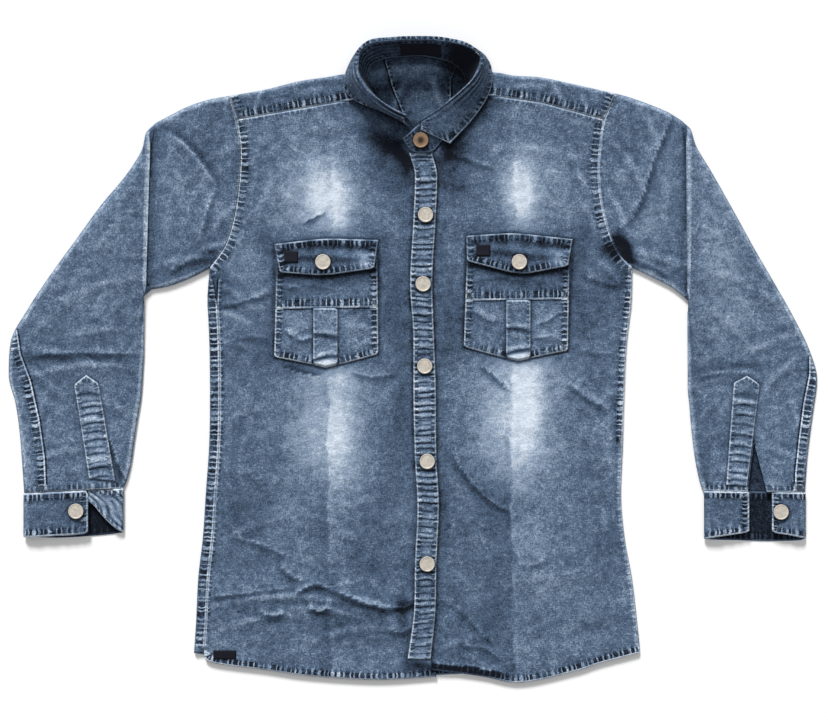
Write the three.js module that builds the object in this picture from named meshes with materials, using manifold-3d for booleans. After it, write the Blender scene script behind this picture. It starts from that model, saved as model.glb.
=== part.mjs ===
// A long-sleeved denim shirt lying flat on its back, in millimetres.
// X runs from one cuff to the other, Y towards the collar and Z up from the
// surface that it lies on. Every cloth piece is a thin wall on both sides of
// a middle surface, which is worked out from the tables below.
import * as THREE from 'three';
import { mergeVertices } from 'three/addons/utils/BufferGeometryUtils.js';
import Module from 'manifold-3d';

const WALL = 1.2;                       // thickness of the cloth
const GAP = 0.3;                        // between two pieces at a seam
const FOLD_R = 1.9;                     // round of a flat fold, to the wall's middle
const LOW = WALL / 2;                   // middle of the layer that rests
const TOP = LOW + 2 * FOLD_R;           // middle of the layer above it
const MID = LOW + FOLD_R;               // the outermost point of a fold
const ONTO = WALL + GAP;                // from one layer to a piece on it
const SIDE_LAP = 10;                    // how far a side seam lies in from its fold
const LAP_FADE = 40;                    // length over which the lap grows from the armpit

// Armhole seams and side folds from the shoulder down, a row for each height
// on the wearer's right (x below zero) and left.
const ARMHOLE = [
  { right: [-225, 326], left: [249, 329] },
  { right: [-217, 297], left: [236, 297] },
  { right: [-212, 266], left: [231, 266] },
  { right: [-212, 235], left: [229, 235] },
  { right: [-215, 204], left: [231, 204] },
  { right: [-220, 174], left: [237, 174] },
  { right: [-229, 145], left: [247, 145] },
  { right: [-240, 127], left: [258, 127] },
  { right: [-249, 115], left: [270, 115] },
];
const SIDE = [
  { y: 115, right: -249, left: 270 }, { y: 75, right: -252, left: 269 },
  { y: 31, right: -250, left: 264 }, { y: -43, right: -249, left: 260 },
  { y: -102, right: -250, left: 258 }, { y: -161, right: -254, left: 256 },
  { y: -220, right: -258, left: 261 }, { y: -264, right: -263, left: 269 },
  { y: -323, right: -266, left: 276 }, { y: -395, right: -271, left: 283 },
];
// The button stand: both edges of the placket strip from the neck to the hem.
const PLACKET = [
  { y: 256, outer: -4, inner: 24.5 }, { y: 227, outer: 3, inner: 31 },
  { y: 174, outer: 1, inner: 29 }, { y: 95, outer: -3, inner: 25 },
  { y: 29, outer: 1, inner: 27 }, { y: -23, outer: 1, inner: 29 },
  { y: -120, outer: 3, inner: 30 }, { y: -178, outer: 6, inner: 33 },
  { y: -249, outer: 3, inner: 30 }, { y: -304, outer: 2, inner: 29 },
  { y: -366, outer: -6, inner: 23 },
];
const UNDER_FRONT = 6;                  // the right front runs on past the placket
// Hems from the side to the button stand.
const HEM_RIGHT = [[-269, -361], [-245, -371], [-178, -380], [-129, -387], [-46, -392], [8, -388]];
const HEM_LEFT = [[281, -355], [231, -371], [200, -381], [133, -395], [84, -387], [23, -379]];
// Top edges of the fronts: the yoke seam, then the neckline.
const YOKE_SEAM_RIGHT = [[-217, 297], [-148, 309], [-50, 326]];
const YOKE_SEAM_LEFT = [[236, 297], [159, 318], [68, 331]];
const NECKLINE_RIGHT = [[-50, 326], [-30, 311], [-8, 290], [31, 254]];
const NECKLINE_LEFT = [[68, 331], [58, 308], [46, 284], [26, 254]];
// Soft swells of the fronts: a centre, half sizes, turn in degrees and rise.
const SWELLS = [
  { x: -178, y: -287, long: 90, wide: 26, turn: 4, rise: 1.6 },
  { x: -60, y: -300, long: 70, wide: 24, turn: -12, rise: 1.4 },
  { x: -215, y: -150, long: 70, wide: 24, turn: 70, rise: 1.3 },
  { x: -150, y: 215, long: 60, wide: 26, turn: 35, rise: 1.3 },
  { x: 160, y: 220, long: 60, wide: 26, turn: -35, rise: 1.3 },
  { x: 230, y: -80, long: 80, wide: 26, turn: -60, rise: 1.5 },
  { x: 150, y: -250, long: 90, wide: 28, turn: 12, rise: 1.6 },
  { x: 215, y: 60, long: 50, wide: 24, turn: 50, rise: 1.2 },
];

// The yoke from one armhole to the other: where its back seam meets the fold,
// where that fold lies along the top, its front or neck edge, and how much of
// the neck's shape it takes there.
const YOKE_BACK_Y = ARMHOLE[2].right[1];
const YOKE = [
  { back: -212, topX: -225, topY: 326, edgeX: -217, neck: 0 },
  { back: -175, topX: -180, topY: 334, edgeX: -182, neck: 0 },
  { back: -138, topX: -140, topY: 344, edgeX: -148, neck: 0 },
  { back: -98, topX: -106, topY: 349, edgeX: -98, neck: 0 },
  { back: -60, topX: -78, topY: 353, edgeX: -50, neck: 0 },
  { back: -50, topX: -66, topY: 357, edgeX: -52, edgeY: 342, neck: 0.5 },
  { back: -42, topX: -52, topY: 361, edgeX: -52, edgeY: 359, neck: 1 },
  { back: -28, topX: -31, topY: 368, edgeX: -31, edgeY: 366, neck: 1 },
  { back: 4, topX: 5, topY: 371, edgeX: 4, edgeY: 366, neck: 1 },
  { back: 36, topX: 40, topY: 366, edgeX: 36, edgeY: 363, neck: 1 },
  { back: 52, topX: 62, topY: 357, edgeX: 58, edgeY: 354, neck: 1 },
  { back: 60, topX: 78, topY: 356, edgeX: 62, edgeY: 344, neck: 0.5 },
  { back: 72, topX: 98, topY: 355, edgeX: 68, neck: 0 },
  { back: 112, topX: 124, topY: 351, edgeX: 114, neck: 0 },
  { back: 150, topX: 156, topY: 349, edgeX: 159, neck: 0 },
  { back: 190, topX: 200, topY: 340, edgeX: 193, neck: 0 },
  { back: 231, topX: 249, topY: 329, edgeX: 236, neck: 0 },
];
const NECK_RISE = 11;                   // height of the yoke's neck edge
const NECK_SLOPE = 46;                  // length over which it rises
const NECK_ROWS = [0, 0.4, 0.62, 0.72, 0.8, 0.87, 0.94, 1];
const YOKE_TURN = 12;                   // flat length of the yoke's lower layer before its fold

// The collar from the right front end over the back to the left one. Each row
// has the seam on the neckline, the roll line and the free edge of the leaf.
const COLLAR = [
  { seam: [18, 268, 6.3], roll: [16, 283, 9.4], leaf: null },
  { seam: [8, 275, 6.2], roll: [4, 286, 9.6], leaf: null },
  { seam: [0, 287, 6], roll: [-7, 299, 21], leaf: [-8, 291, 14] },
  { seam: [-12, 299, 5.9], roll: [-22, 305, 29], leaf: [-25, 301, 9] },
  { seam: [-31, 314, 5.9], roll: [-45, 320, 33], leaf: [-48, 311, 8.4] },
  { seam: [-48, 329, 6.4], roll: [-59, 336, 34], leaf: [-71, 321, 8] },
  { seam: [-56, 346, 9.8], roll: [-66, 353, 35], leaf: [-84, 338, 7.5] },
  { seam: [-51, 363, 13.2], roll: [-65, 371, 35], leaf: [-80, 360, 5] },
  { seam: [-33, 371, 14], roll: [-54, 384, 36], leaf: [-64, 380, 3] },
  { seam: [-14, 373, 14], roll: [-22, 389, 38], leaf: [-26, 388, 2.4] },
  { seam: [8, 374, 14], roll: [8, 390, 38.5], leaf: [8, 389, 2.4] },
  { seam: [30, 371, 13.8], roll: [40, 388, 37], leaf: [42, 388, 2.4] },
  { seam: [50, 364, 13.2], roll: [69, 381, 32], leaf: [74, 385, 3] },
  { seam: [62, 352, 13.2], roll: [83, 368, 28], leaf: [93, 370, 5] },
  { seam: [65, 333, 7], roll: [74, 343, 27], leaf: [98, 346, 7.5] },
  { seam: [58, 310, 6.4], roll: [61, 329, 26], leaf: [92, 325, 8] },
  { seam: [47, 288, 6.9], roll: [44, 315, 22], leaf: [75, 299, 8.6] },
  { seam: [36, 271, 7.6], roll: [25, 302, 17], leaf: [46, 267, 10.4] },
  { seam: [22, 257, 8], roll: [7, 290, 13], leaf: [10, 284, 15] },
  { seam: [8, 256, 8.2], roll: [-3, 281, 12], leaf: null },
  { seam: [-4, 260, 8.4], roll: [-12, 273, 11], leaf: null },
];
const LEAF_GAP = 1.1;                   // the leaf turns over this far above the stand
const LEAF_TURN = 3.9;                  // and this far out from it
const LEAF_ROWS = [0.35, 0.7, 1];       // rows of the leaf down to its free edge
const LEAF_BOW = 1.5;                   // how much it bulges between them

// Sleeves from the armhole to the cuff seam: points of the outer and the
// inner edge, and how far the upper layer is raised over the resting one.
// The row with fold: true is where the sleeve is folded onto itself.
const SLEEVE_RIGHT = [
  { outer: [-250, 321.5], inner: [-261, 109], rise: 0 },
  { outer: [-276, 313], inner: [-280, 100], rise: 0.3 },
  { outer: [-300, 301], inner: [-303, 92], rise: 0.2 },
  { outer: [-321, 288], inner: [-327, 84], rise: 0, fold: true },
  { outer: [-334, 257], inner: [-331, 60], rise: 3.2 },
  { outer: [-352, 229], inner: [-331, 44], rise: 3.2 },
  { outer: [-382, 193], inner: [-331, 27], rise: 3 },
  { outer: [-414, 149], inner: [-331, 10], rise: 1.4 },
  { outer: [-446, 105], inner: [-332, -7], rise: 0.6 },
  { outer: [-473, 64], inner: [-333, -26], rise: 0.2 },
  { outer: [-494, 24], inner: [-335, -48], rise: 0 },
  { outer: [-496.5, -17], inner: [-339, -72], rise: 0.3 },
  { outer: [-488.5, -50], inner: [-343, -99], rise: 0.8 },
  { outer: [-483, -88], inner: [-347, -127], rise: 2 },
  { outer: [-480, -126], inner: [-352, -146], rise: 3.2 },
  { outer: [-477.5, -162], inner: [-356, -156], rise: 4 },
];
const SLEEVE_LEFT = [
  { outer: [266, 324.5], inner: [282, 110], rise: 0 },
  { outer: [290, 316], inner: [300, 101], rise: 0.3 },
  { outer: [314, 306], inner: [319, 91], rise: 0.2 },
  { outer: [336, 291], inner: [338, 76], rise: 0, fold: true },
  { outer: [349, 264], inner: [339, 56], rise: 3.2 },
  { outer: [368, 232], inner: [339, 41], rise: 3.2 },
  { outer: [394, 186], inner: [339, 25], rise: 3 },
  { outer: [421, 137], inner: [339, 8], rise: 1.4 },
  { outer: [446, 94], inner: [339, -11], rise: 0.6 },
  { outer: [468, 55], inner: [339, -32], rise: 0.2 },
  { outer: [489, 11], inner: [341, -55], rise: 0 },
  { outer: [497.5, -22], inner: [343, -80], rise: 0.3 },
  { outer: [494, -52], inner: [346, -107], rise: 0.8 },
  { outer: [489, -88], inner: [350, -132], rise: 2 },
  { outer: [485, -124], inner: [354, -149], rise: 3.2 },
  { outer: [482.5, -161], inner: [357.5, -159], rise: 4 },
];
const BOW_RINGS = 4;                    // rings over which a sleeve loses the armhole's curve
const RISE_SPREAD = 2.2;                // how soon the upper layer reaches its rise
// The sleeve's own fold: how far its hidden layer runs under, over the width
// of the sleeve from the outer to the inner edge, at the armhole's heights.
const FOLD_UNDER = [0, 1, 5, 10, 14, 17, 12, 3, 0];
const FOLD_OPEN = [0, 1, 1, 1, 1, 1, 1, 1, 0];
const FOLD_STEP = 1.4;                  // spacing of its points where it is open flat
const FOLD_FALL = 0.9;                  // slope of the sleeve's edges across the fold
const LAYER = 1.6;                      // from layer to layer inside the fold
const FOLD_PATH = [                     // across the fold: times under, plus x, layers up
  { under: 0, x: -4, up: 0 }, { under: 1, x: 0, up: 0 },
  { under: 1, x: 0.8, up: 0.5 }, { under: 1, x: 0, up: 1 },
  { under: 0, x: 0.8, up: 1 }, { under: 0, x: 0, up: 1.5 },
  { under: 0, x: 0.8, up: 2 }, { under: 0, x: 6, up: 2 },
];

// Cuffs: one band each, from its lower end round the back layer to its upper
// end. Each row has its lower edge and height; the upper edge is at the seam.
const CUFF_RIGHT = [
  { x: -412, bottom: -166, z: 6.6 }, { x: -395, bottom: -174, z: 6.6 },
  { x: -376, bottom: -195, z: 6.8 }, { x: -362, bottom: -207, z: 6.2 },
  { x: -356, bottom: -210, z: 3.8 }, { x: -361, bottom: -211, z: LOW },
  { x: -400, bottom: -215, z: LOW }, { x: -440, bottom: -217, z: LOW },
  { x: -473, bottom: -216, z: LOW }, { x: -478, bottom: -216, z: 4.5 },
  { x: -473, bottom: -216, z: 8.4 }, { x: -440, bottom: -214, z: 8.6 },
  { x: -418, bottom: -213, z: 8.5 }, { x: -399, bottom: -211, z: 8.3 },
];
const CUFF_LEFT = [
  { x: 442, bottom: -210, z: 8 }, { x: 462, bottom: -213, z: 8.4 },
  { x: 477, bottom: -216, z: 8.2 }, { x: 483, bottom: -217, z: 4.4 },
  { x: 478, bottom: -220, z: LOW }, { x: 440, bottom: -221, z: LOW },
  { x: 400, bottom: -220, z: LOW }, { x: 366, bottom: -219, z: LOW },
  { x: 359, bottom: -218, z: 4.5 }, { x: 364, bottom: -217, z: 8.2 },
  { x: 390, bottom: -213, z: 8.5 }, { x: 413, bottom: -209.5, z: 8.2 },
];

// The chest pockets on the fronts: corners from the upper left, clockwise,
// with the point of the bottom edge in the middle.
const POCKETS = {
  right: {
    flapTop: [[-170, 144], [-109, 151], [-42, 149]],
    flapEdge: [[-163, 109], [-109, 105], [-47, 114]],
    top: [[-167, 126], [-43, 130]], side: [[-170, 5], [-42, 9]], point: [-107, -8],
    band: 65, patch: [-149, 128], button: [-110, 122],
  },
  left: {
    flapTop: [[66, 154], [124, 158], [197, 150]],
    flapEdge: [[67, 123], [132, 106], [191, 117]],
    top: [[67, 132], [193, 132]], side: [[63, 18], [191, 13]], point: [130, 0],
    band: 75, patch: [87, 136], button: [131, 122],
  },
};
const FLAP_ROWS = [0, 0.13, 0.26, 0.45, 0.7, 1];
const FLAP_LIFT = 1.15;                 // layers by which the pocket under it lifts a flap
const FLAP_EASE = 9;                    // length over which it is lifted
const STRIP_W = 30;                     // width of the strip down a pocket
const PATCH = [17, 14];                 // small plain patch on a flap
// Sleeve plackets: their tip, shoulders and ends at the cuff.
const SLEEVE_PLACKETS = {
  right: { tip: [-402, -17], far: [-416, -29], near: [-386, -27], farEnd: [-397, -144], nearEnd: [-365, -147] },
  left: { tip: [415, -18], far: [427, -29], near: [395, -26], farEnd: [410.5, -153], nearEnd: [385, -152] },
};
const PLACKET_ROWS = 9;
const PLACKET_COLUMNS = 4;
const PLACKET_LIFT = 1.3;               // layers between it and the sleeve, which slopes there
const SLIT_DEPTH = 12;
const SLIT = [[419.5, -98], [409.5, -175], [439, -175]];   // opening of the left sleeve above its cuff

const SEAM_STEP = 25;                   // spacing of the rows down a side seam
const SIDE_FADE = 18;                   // length over which the swells end at a side fold
const TOP_ROWS = 2.2;                   // rows over which they begin below the yoke
const STAND_FADE = 30;                  // length over which the left front rises onto the right
const STAND_STEPS = 26;                 // rows of the placket
const SEAM_SHARE = 0.58;                // the yoke seam's share of a front's top columns
const FRONT_COLUMNS = [0, 0.012, 0.03, 0.045, 0.062, 0.082, 0.15, 0.235, 0.317, 0.4, 0.49, SEAM_SHARE, 0.69, 0.79,
  0.89, 1];
const BACK_COLUMNS = [0, 0.005, 0.011, 0.018, 0.03, 0.05, 0.2, 0.35, 0.5, 0.65, 0.8, 0.95, 0.98, 1];
const BACK_HEM = -357;                  // height of the back's hem at the sides
const BACK_TAIL = 30;                   // how much lower it is in the middle
const BACK_TAIL_ROWS = 4;               // rows over which the hem curves

const BUTTON_R = 9.3;
const BUTTON_H = 2.7;
const BUTTON_SHANK = { radius: 3, height: 1 };
const BUTTON_PROFILE = [                // the cap from its underside to the middle of its top
  [BUTTON_R - 0.4, BUTTON_SHANK.height], [BUTTON_R, BUTTON_H * 0.7], [BUTTON_R - 0.8, BUTTON_H],
  [0, BUTTON_H - 0.2],
];
const BUTTON_SIDES = 14;
const BUTTON_SEAT = 6;                  // radius within which it rests on the cloth
const BUTTONS = {                       // place in x and y
  neck: [10, 271],
  front: [[16, 180], [13, 95], [15, -6], [18, -123], [18, -249]],
  cuffs: { right: [-413, -184], left: [452, -185] },
};
const NECK_LABEL = { x: 10, width: 48, low: 0.12, high: 0.8, lift: ONTO + 0.2 };
const NECK_LABEL_ROWS = [9, 12];        // rows of the collar behind it
const HEM_LABEL = { x: -231, y: -361, width: 28, height: 11 };

const CLOTH = { color: 0x5d7188, roughness: 0.9 };
const DARK_CLOTH = { color: 0x4d6078, roughness: 0.9 };
const PATCH_CLOTH = { color: 0x16181d, roughness: 0.85 };
const METAL = { color: 0xb7aca0, roughness: 0.5, metalness: 0.9 };
const BRONZE = { color: 0x8d7358, roughness: 0.5, metalness: 0.9 };

const wasm = await Module();
wasm.setup();

const shirt = new THREE.Group();
const point = (x, y, z) => new THREE.Vector3(x, y, z);
const mix = (a, b, t) => a + (b - a) * t;
const clamp = (t) => Math.min(1, Math.max(0, t));
const ease = (t) => clamp(t) ** 2 * (3 - 2 * clamp(t));

function add(name, geometry, look) {
  const mesh = new THREE.Mesh(geometry, new THREE.MeshStandardMaterial({ metalness: 0, ...look }));
  mesh.name = name;
  shirt.add(mesh);
  return mesh;
}

// A smooth curve through points, evaluated at t from 0 to 1 where the points
// are evenly spaced in t.
function through(points) {
  const last = points.length - 1;
  return (t) => {
    const at = clamp(t) * last;
    const i = Math.min(last - 1, Math.floor(at));
    const f = at - i;
    const [p1, p2] = [points[i], points[i + 1]];
    const p0 = points[Math.max(0, i - 1)];
    const p3 = points[Math.min(last, i + 2)];
    return p1.map((_, k) => 0.5 * (2 * p1[k] + (p2[k] - p0[k]) * f
      + (2 * p0[k] - 5 * p1[k] + 4 * p2[k] - p3[k]) * f * f
      + (3 * p1[k] - p0[k] - 3 * p2[k] + p3[k]) * f * f * f));
  };
}

// A value from a table whose rows fall in y.
function tableAt(rows, key, y) {
  const last = rows.length - 1;
  if (y >= rows[0].y) return rows[0][key];
  if (y <= rows[last].y) return rows[last][key];
  const i = rows.findIndex((row) => row.y <= y) - 1;
  const f = (rows[i].y - y) / (rows[i].y - rows[i + 1].y);
  return mix(rows[i][key], rows[i + 1][key], f);
}

// A closed wall around a grid of middle points. The grid may close on itself
// across its columns, as a tube does.
function wall(grid, tube = false) {
  const rows = grid.length;
  const columns = grid[0].length;
  const at = (i, j) => grid[Math.min(rows - 1, Math.max(0, i))][
    tube ? (j + columns) % columns : Math.min(columns - 1, Math.max(0, j))];
  const positions = [];
  for (const side of [1, -1]) {
    for (let i = 0; i < rows; i += 1) {
      for (let j = 0; j < columns; j += 1) {
        const normal = unit(at(i, j + 1), at(i, j)).add(unit(at(i, j), at(i, j - 1)))
          .cross(unit(at(i + 1, j), at(i, j)).add(unit(at(i, j), at(i - 1, j)))).normalize();
        positions.push(...grid[i][j].clone().addScaledVector(normal, side * WALL / 2));
      }
    }
  }
  const faces = [];
  const index = (side, i, j) => (side * rows + i) * columns + (j % columns);
  const quad = (a, b, c, d) => faces.push(a, b, c, a, c, d);
  const across = tube ? columns : columns - 1;
  for (let i = 0; i < rows - 1; i += 1) {
    for (let j = 0; j < across; j += 1) {
      quad(index(0, i, j), index(0, i, j + 1), index(0, i + 1, j + 1), index(0, i + 1, j));
      quad(index(1, i, j), index(1, i + 1, j), index(1, i + 1, j + 1), index(1, i, j + 1));
    }
  }
  for (let j = 0; j < across; j += 1) {
    quad(index(0, 0, j), index(1, 0, j), index(1, 0, j + 1), index(0, 0, j + 1));
    const i = rows - 1;
    quad(index(0, i, j), index(0, i, j + 1), index(1, i, j + 1), index(1, i, j));
  }
  for (let i = 0; !tube && i < rows - 1; i += 1) {
    quad(index(0, i, 0), index(0, i + 1, 0), index(1, i + 1, 0), index(1, i, 0));
    const j = columns - 1;
    quad(index(0, i, j), index(1, i, j), index(1, i + 1, j), index(0, i + 1, j));
  }
  return closed(positions, faces);
}

function unit(a, b) {
  return a.clone().sub(b).normalize();
}

// A geometry with its faces turned outward.
function closed(positions, faces) {
  const corner = (k) => new THREE.Vector3().fromArray(positions, 3 * k);
  let volume = 0;
  for (let f = 0; f < faces.length; f += 3) {
    volume += corner(faces[f]).dot(corner(faces[f + 1]).cross(corner(faces[f + 2])));
  }
  const turned = volume < 0 ? faces.slice().reverse() : faces;
  const geometry = new THREE.BufferGeometry();
  geometry.setAttribute('position', new THREE.Float32BufferAttribute(positions, 3));
  geometry.setIndex(turned);
  geometry.computeVertexNormals();
  return geometry;
}

// Height of the middle of the front at a place, and its swells.
function frontLevel(x, y) {
  let z = TOP;
  for (const swell of SWELLS) {
    const turn = THREE.MathUtils.degToRad(swell.turn);
    const along = (x - swell.x) * Math.cos(turn) + (y - swell.y) * Math.sin(turn);
    const over = (y - swell.y) * Math.cos(turn) - (x - swell.x) * Math.sin(turn);
    z += swell.rise * Math.exp(-((along / swell.long) ** 2) - (over / swell.wide) ** 2);
  }
  return z;
}

// The left front rises onto the right one at the button stand.
function standRaise(x, y) {
  const past = x - tableAt(PLACKET, 'inner', y);
  return ONTO * (1 - ease((past - UNDER_FRONT) / STAND_FADE));
}

// Rolls a flat place at the side of the body round its fold, from the upper
// layer down to the lower one and in below it.
function rollSide(x, y, side, level) {
  const out = side === 'left' ? 1 : -1;
  const start = tableAt(SIDE, side, y) - out * FOLD_R;
  const past = out * (x - start);
  if (past <= 0) return point(x, y, mix(level, TOP, ease(1 + past / SIDE_FADE)));
  const turn = past / FOLD_R;
  if (turn < Math.PI) {
    return point(start + out * FOLD_R * Math.sin(turn), y, MID + FOLD_R * Math.cos(turn));
  }
  return point(start - out * (past - Math.PI * FOLD_R), y, LOW);
}

// Where the side seam lies round the fold, measured along the cloth from the
// start of the fold on the upper layer. It is on top on the right side of the
// body and below on the left side.
function seamPast(side, y) {
  const atArmpit = Math.PI * FOLD_R / 2;
  const low = side === 'left' ? Math.PI * FOLD_R + SIDE_LAP : -SIDE_LAP;
  return mix(atArmpit, low, ease((SIDE[0].y - y) / LAP_FADE));
}

// A flat patch between four edges, given as functions of 0 to 1.
function patch(left, right, top, bottom) {
  const corner = [top(0), top(1), bottom(0), bottom(1)];
  return (u, v) => [0, 1].map((k) => (1 - u) * left(v)[k] + u * right(v)[k]
    + (1 - v) * top(u)[k] + v * bottom(u)[k]
    - (1 - u) * (1 - v) * corner[0][k] - u * (1 - v) * corner[1][k]
    - (1 - u) * v * corner[2][k] - u * v * corner[3][k]);
}

// The outer edge of a body panel from its topmost armhole row to the hem, on
// the flat cloth of the upper or the lower layer.
function bodyEdge(side, firstRow, upper, hemY) {
  const out = side === 'left' ? 1 : -1;
  const rows = ARMHOLE.slice(firstRow, -1).map((row) => [row[side][0] - out * GAP, row[side][1]]);
  const heights = [];
  for (let y = SIDE[0].y; y > hemY + SEAM_STEP / 2; y -= SEAM_STEP) heights.push(y);
  for (const y of [...heights, hemY]) {
    const start = tableAt(SIDE, side, y) - out * FOLD_R;
    const past = upper ? seamPast(side, y) : Math.PI * FOLD_R - seamPast(side, y);
    const gap = y > SIDE[1].y ? 3 * GAP : GAP / 2;
    rows.push([start + out * (past - gap), y]);
  }
  return rows;
}

function front(side) {
  const right = side === 'right';
  const rows = bodyEdge(side, 1, true, right ? HEM_RIGHT[0][1] : HEM_LEFT[0][1]);
  rows[0][1] -= GAP;
  const hemRows = right ? HEM_RIGHT : HEM_LEFT;
  const stand = (t) => {
    const y = mix(NECKLINE_RIGHT[3][1], hemRows[hemRows.length - 1][1], t);
    return [tableAt(PLACKET, 'inner', y) + (right ? UNDER_FRONT : GAP), y];
  };
  const hem = through([rows[rows.length - 1], ...hemRows.slice(1, -1), stand(1)]);
  const seamRows = right ? YOKE_SEAM_RIGHT : YOKE_SEAM_LEFT;
  const neck = (right ? NECKLINE_RIGHT : NECKLINE_LEFT).slice(1, -1);
  const inset = seamRows.slice(1).map(([x, y]) => [x, y - GAP]);
  const neckline = through([inset[1], ...neck, stand(0)]);
  const seam = (t) => polyline([rows[0], ...inset], 0, mix(rows[0][0], inset[1][0], t));
  const top = (t) => (t < SEAM_SHARE ? seam(t / SEAM_SHARE) : neckline((t - SEAM_SHARE) / (1 - SEAM_SHARE)));
  const flat = patch(through(rows), stand, top, hem);
  return rows.map((_, i) => FRONT_COLUMNS.map((u) => {
    const [x, y] = flat(u, i / (rows.length - 1));
    const level = mix(frontLevel(x, y), TOP, ease(1 - i / TOP_ROWS)) + (right ? 0 : standRaise(x, y));
    return rollSide(x, y, side, level);
  }));
}

function back() {
  const first = 2;
  const right = bodyEdge('right', first, false, BACK_HEM);
  const left = bodyEdge('left', first, false, BACK_HEM);
  return right.map(([x0, y0], i) => {
    const [x1, y1] = left[i];
    const sag = BACK_TAIL * ease((i - right.length + 1) / BACK_TAIL_ROWS + 1);
    return BACK_COLUMNS.map((u) => {
      const y = mix(y0, y1, u) - sag * Math.sin(Math.PI * u) - (i === 0 ? GAP : 0);
      const p = rollSide(mix(x0, x1, u), y, u < 0.5 ? 'right' : 'left', TOP);
      return p.setZ(LOW + TOP - p.z);
    });
  });
}

function yoke() {
  const ends = [0, YOKE.length - 1];
  return YOKE.map((column, j) => {
    const side = column.topX < 0 ? 'right' : 'left';
    const edgeY = column.edgeY ?? polyline(side === 'right' ? YOKE_SEAM_RIGHT : YOKE_SEAM_LEFT, 0, column.edgeX)[1];
    const top = column.topY - FOLD_R;
    const lowX = (y) => (ends.includes(j) ? polyline(ARMHOLE.map((row) => row[side]), 1, y)[0]
      : mix(column.back, column.topX, (y - YOKE_BACK_Y) / (top - YOKE_BACK_Y)));
    const shoulder = [
      ...[YOKE_BACK_Y, ARMHOLE[1][side][1], top - YOKE_TURN, top].map((y) => [lowX(y), y, LOW]),
      [lowX(top), column.topY, MID],
      [lowX(top), top, TOP],
      [mix(lowX(top), column.edgeX, 0.5), mix(top, edgeY, 0.5), TOP],
      [column.edgeX, edgeY, TOP],
    ];
    const neck = NECK_ROWS.map((t) => {
      const y = mix(YOKE_BACK_Y, column.topY, t);
      const z = LOW + NECK_RISE * ease(1 - (column.topY - y) / NECK_SLOPE);
      return [mix(column.back, column.topX, t), y, z];
    });
    return shoulder.map((p, k) => point(...p.map((value, axis) => mix(value, neck[k][axis], column.neck))));
  });
}

// The place on a line of points where one coordinate has a value.
function polyline(points, axis, value) {
  const rising = points[0][axis] < points[points.length - 1][axis];
  const past = (p) => (rising ? p[axis] > value : p[axis] < value);
  const i = Math.max(0, Math.min(points.length - 2, points.findIndex(past) - 1));
  const j = points.some(past) ? i : points.length - 2;
  const f = (value - points[j][axis]) / (points[j + 1][axis] - points[j][axis]);
  return points[j].map((c, k) => mix(c, points[j + 1][k], f));
}

function sleeve(side) {
  const out = side === 'left' ? 1 : -1;
  const stations = side === 'left' ? SLEEVE_LEFT : SLEEVE_RIGHT;
  const count = ARMHOLE.length - 1;
  const seam = ARMHOLE.map((row) => [row[side][0] + out * GAP, row[side][1]]);
  seam[count][0] += out * 2 * GAP;
  const bow = (t, row) => {
    const straight = [mix(seam[0][0], seam[count][0], t), mix(seam[0][1], seam[count][1], t)];
    return [seam[row][0] - straight[0], seam[row][1] - straight[1]];
  };
  const grid = [ring(seam[0], seam[count], 1, 0, null)];
  stations.forEach((station, k) => {
    const kept = Math.max(0, 1 - (k + 1) / BOW_RINGS) ** 1.5;
    if (station.fold) {
      FOLD_PATH.forEach((step, s) => grid.push(ring(station.outer, station.inner, kept, 0, { step, s })));
    } else {
      grid.push(ring(station.outer, station.inner, kept, station.rise, null));
    }
  });
  return grid;

  function ring(outer, inner, bowKept, rise, folded) {
    const upper = [];
    const lower = [];
    const spread = folded ? (folded.s - (FOLD_PATH.length - 1) / 2) * FOLD_STEP : 0;
    const fall = spread * FOLD_FALL;
    for (let row = 0; row <= count; row += 1) {
      const along = (ARMHOLE[0][side][1] - ARMHOLE[row][side][1])
        / (ARMHOLE[0][side][1] - ARMHOLE[count][side][1]);
      const open = folded ? FOLD_OPEN[row] : 0;
      const [bx, by] = bow(along, row);
      const length = Math.hypot(inner[0] - outer[0], inner[1] - outer[1]);
      const inset = FOLD_R / length;
      const t = Math.min(1 - inset, Math.max(inset, along));
      const x = mix(outer[0], inner[0], t) + bx * bowKept;
      const y = mix(outer[1], inner[1], t) + by * bowKept - (open ? 0 : fall);
      lower.unshift(point(x + out * spread, y, LOW));
      if (open) {
        const dx = out * (folded.step.x + folded.step.under * FOLD_UNDER[row]);
        upper.push(point(x + dx, y, TOP + folded.step.up * LAYER));
      } else {
        upper.push(point(x + out * spread, y, TOP + rise * ease(Math.sin(Math.PI * along) * RISE_SPREAD)));
      }
    }
    const tip = (end) => point(end[0] + out * spread, end[1] - fall, MID);
    return [tip(outer), ...upper, tip(inner), ...lower];
  }
}

function cuff(rows, stations) {
  const { outer, inner } = stations[stations.length - 1];
  return rows.map((row) => {
    const top = polyline([outer, inner], 0, row.x)[1] - WALL / 2 - GAP;
    return [top, mix(top, row.bottom, 0.5), row.bottom].map((y) => point(row.x, y, row.z));
  });
}

// The stand between the neckline seam and the roll, a little hollow inside.
function collarStand() {
  return COLLAR.map((row) => [0, 0.5, 1].map((t) => {
    const p = row.seam.map((value, k) => mix(value, row.roll[k], t));
    return point(...p);
  }));
}

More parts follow.
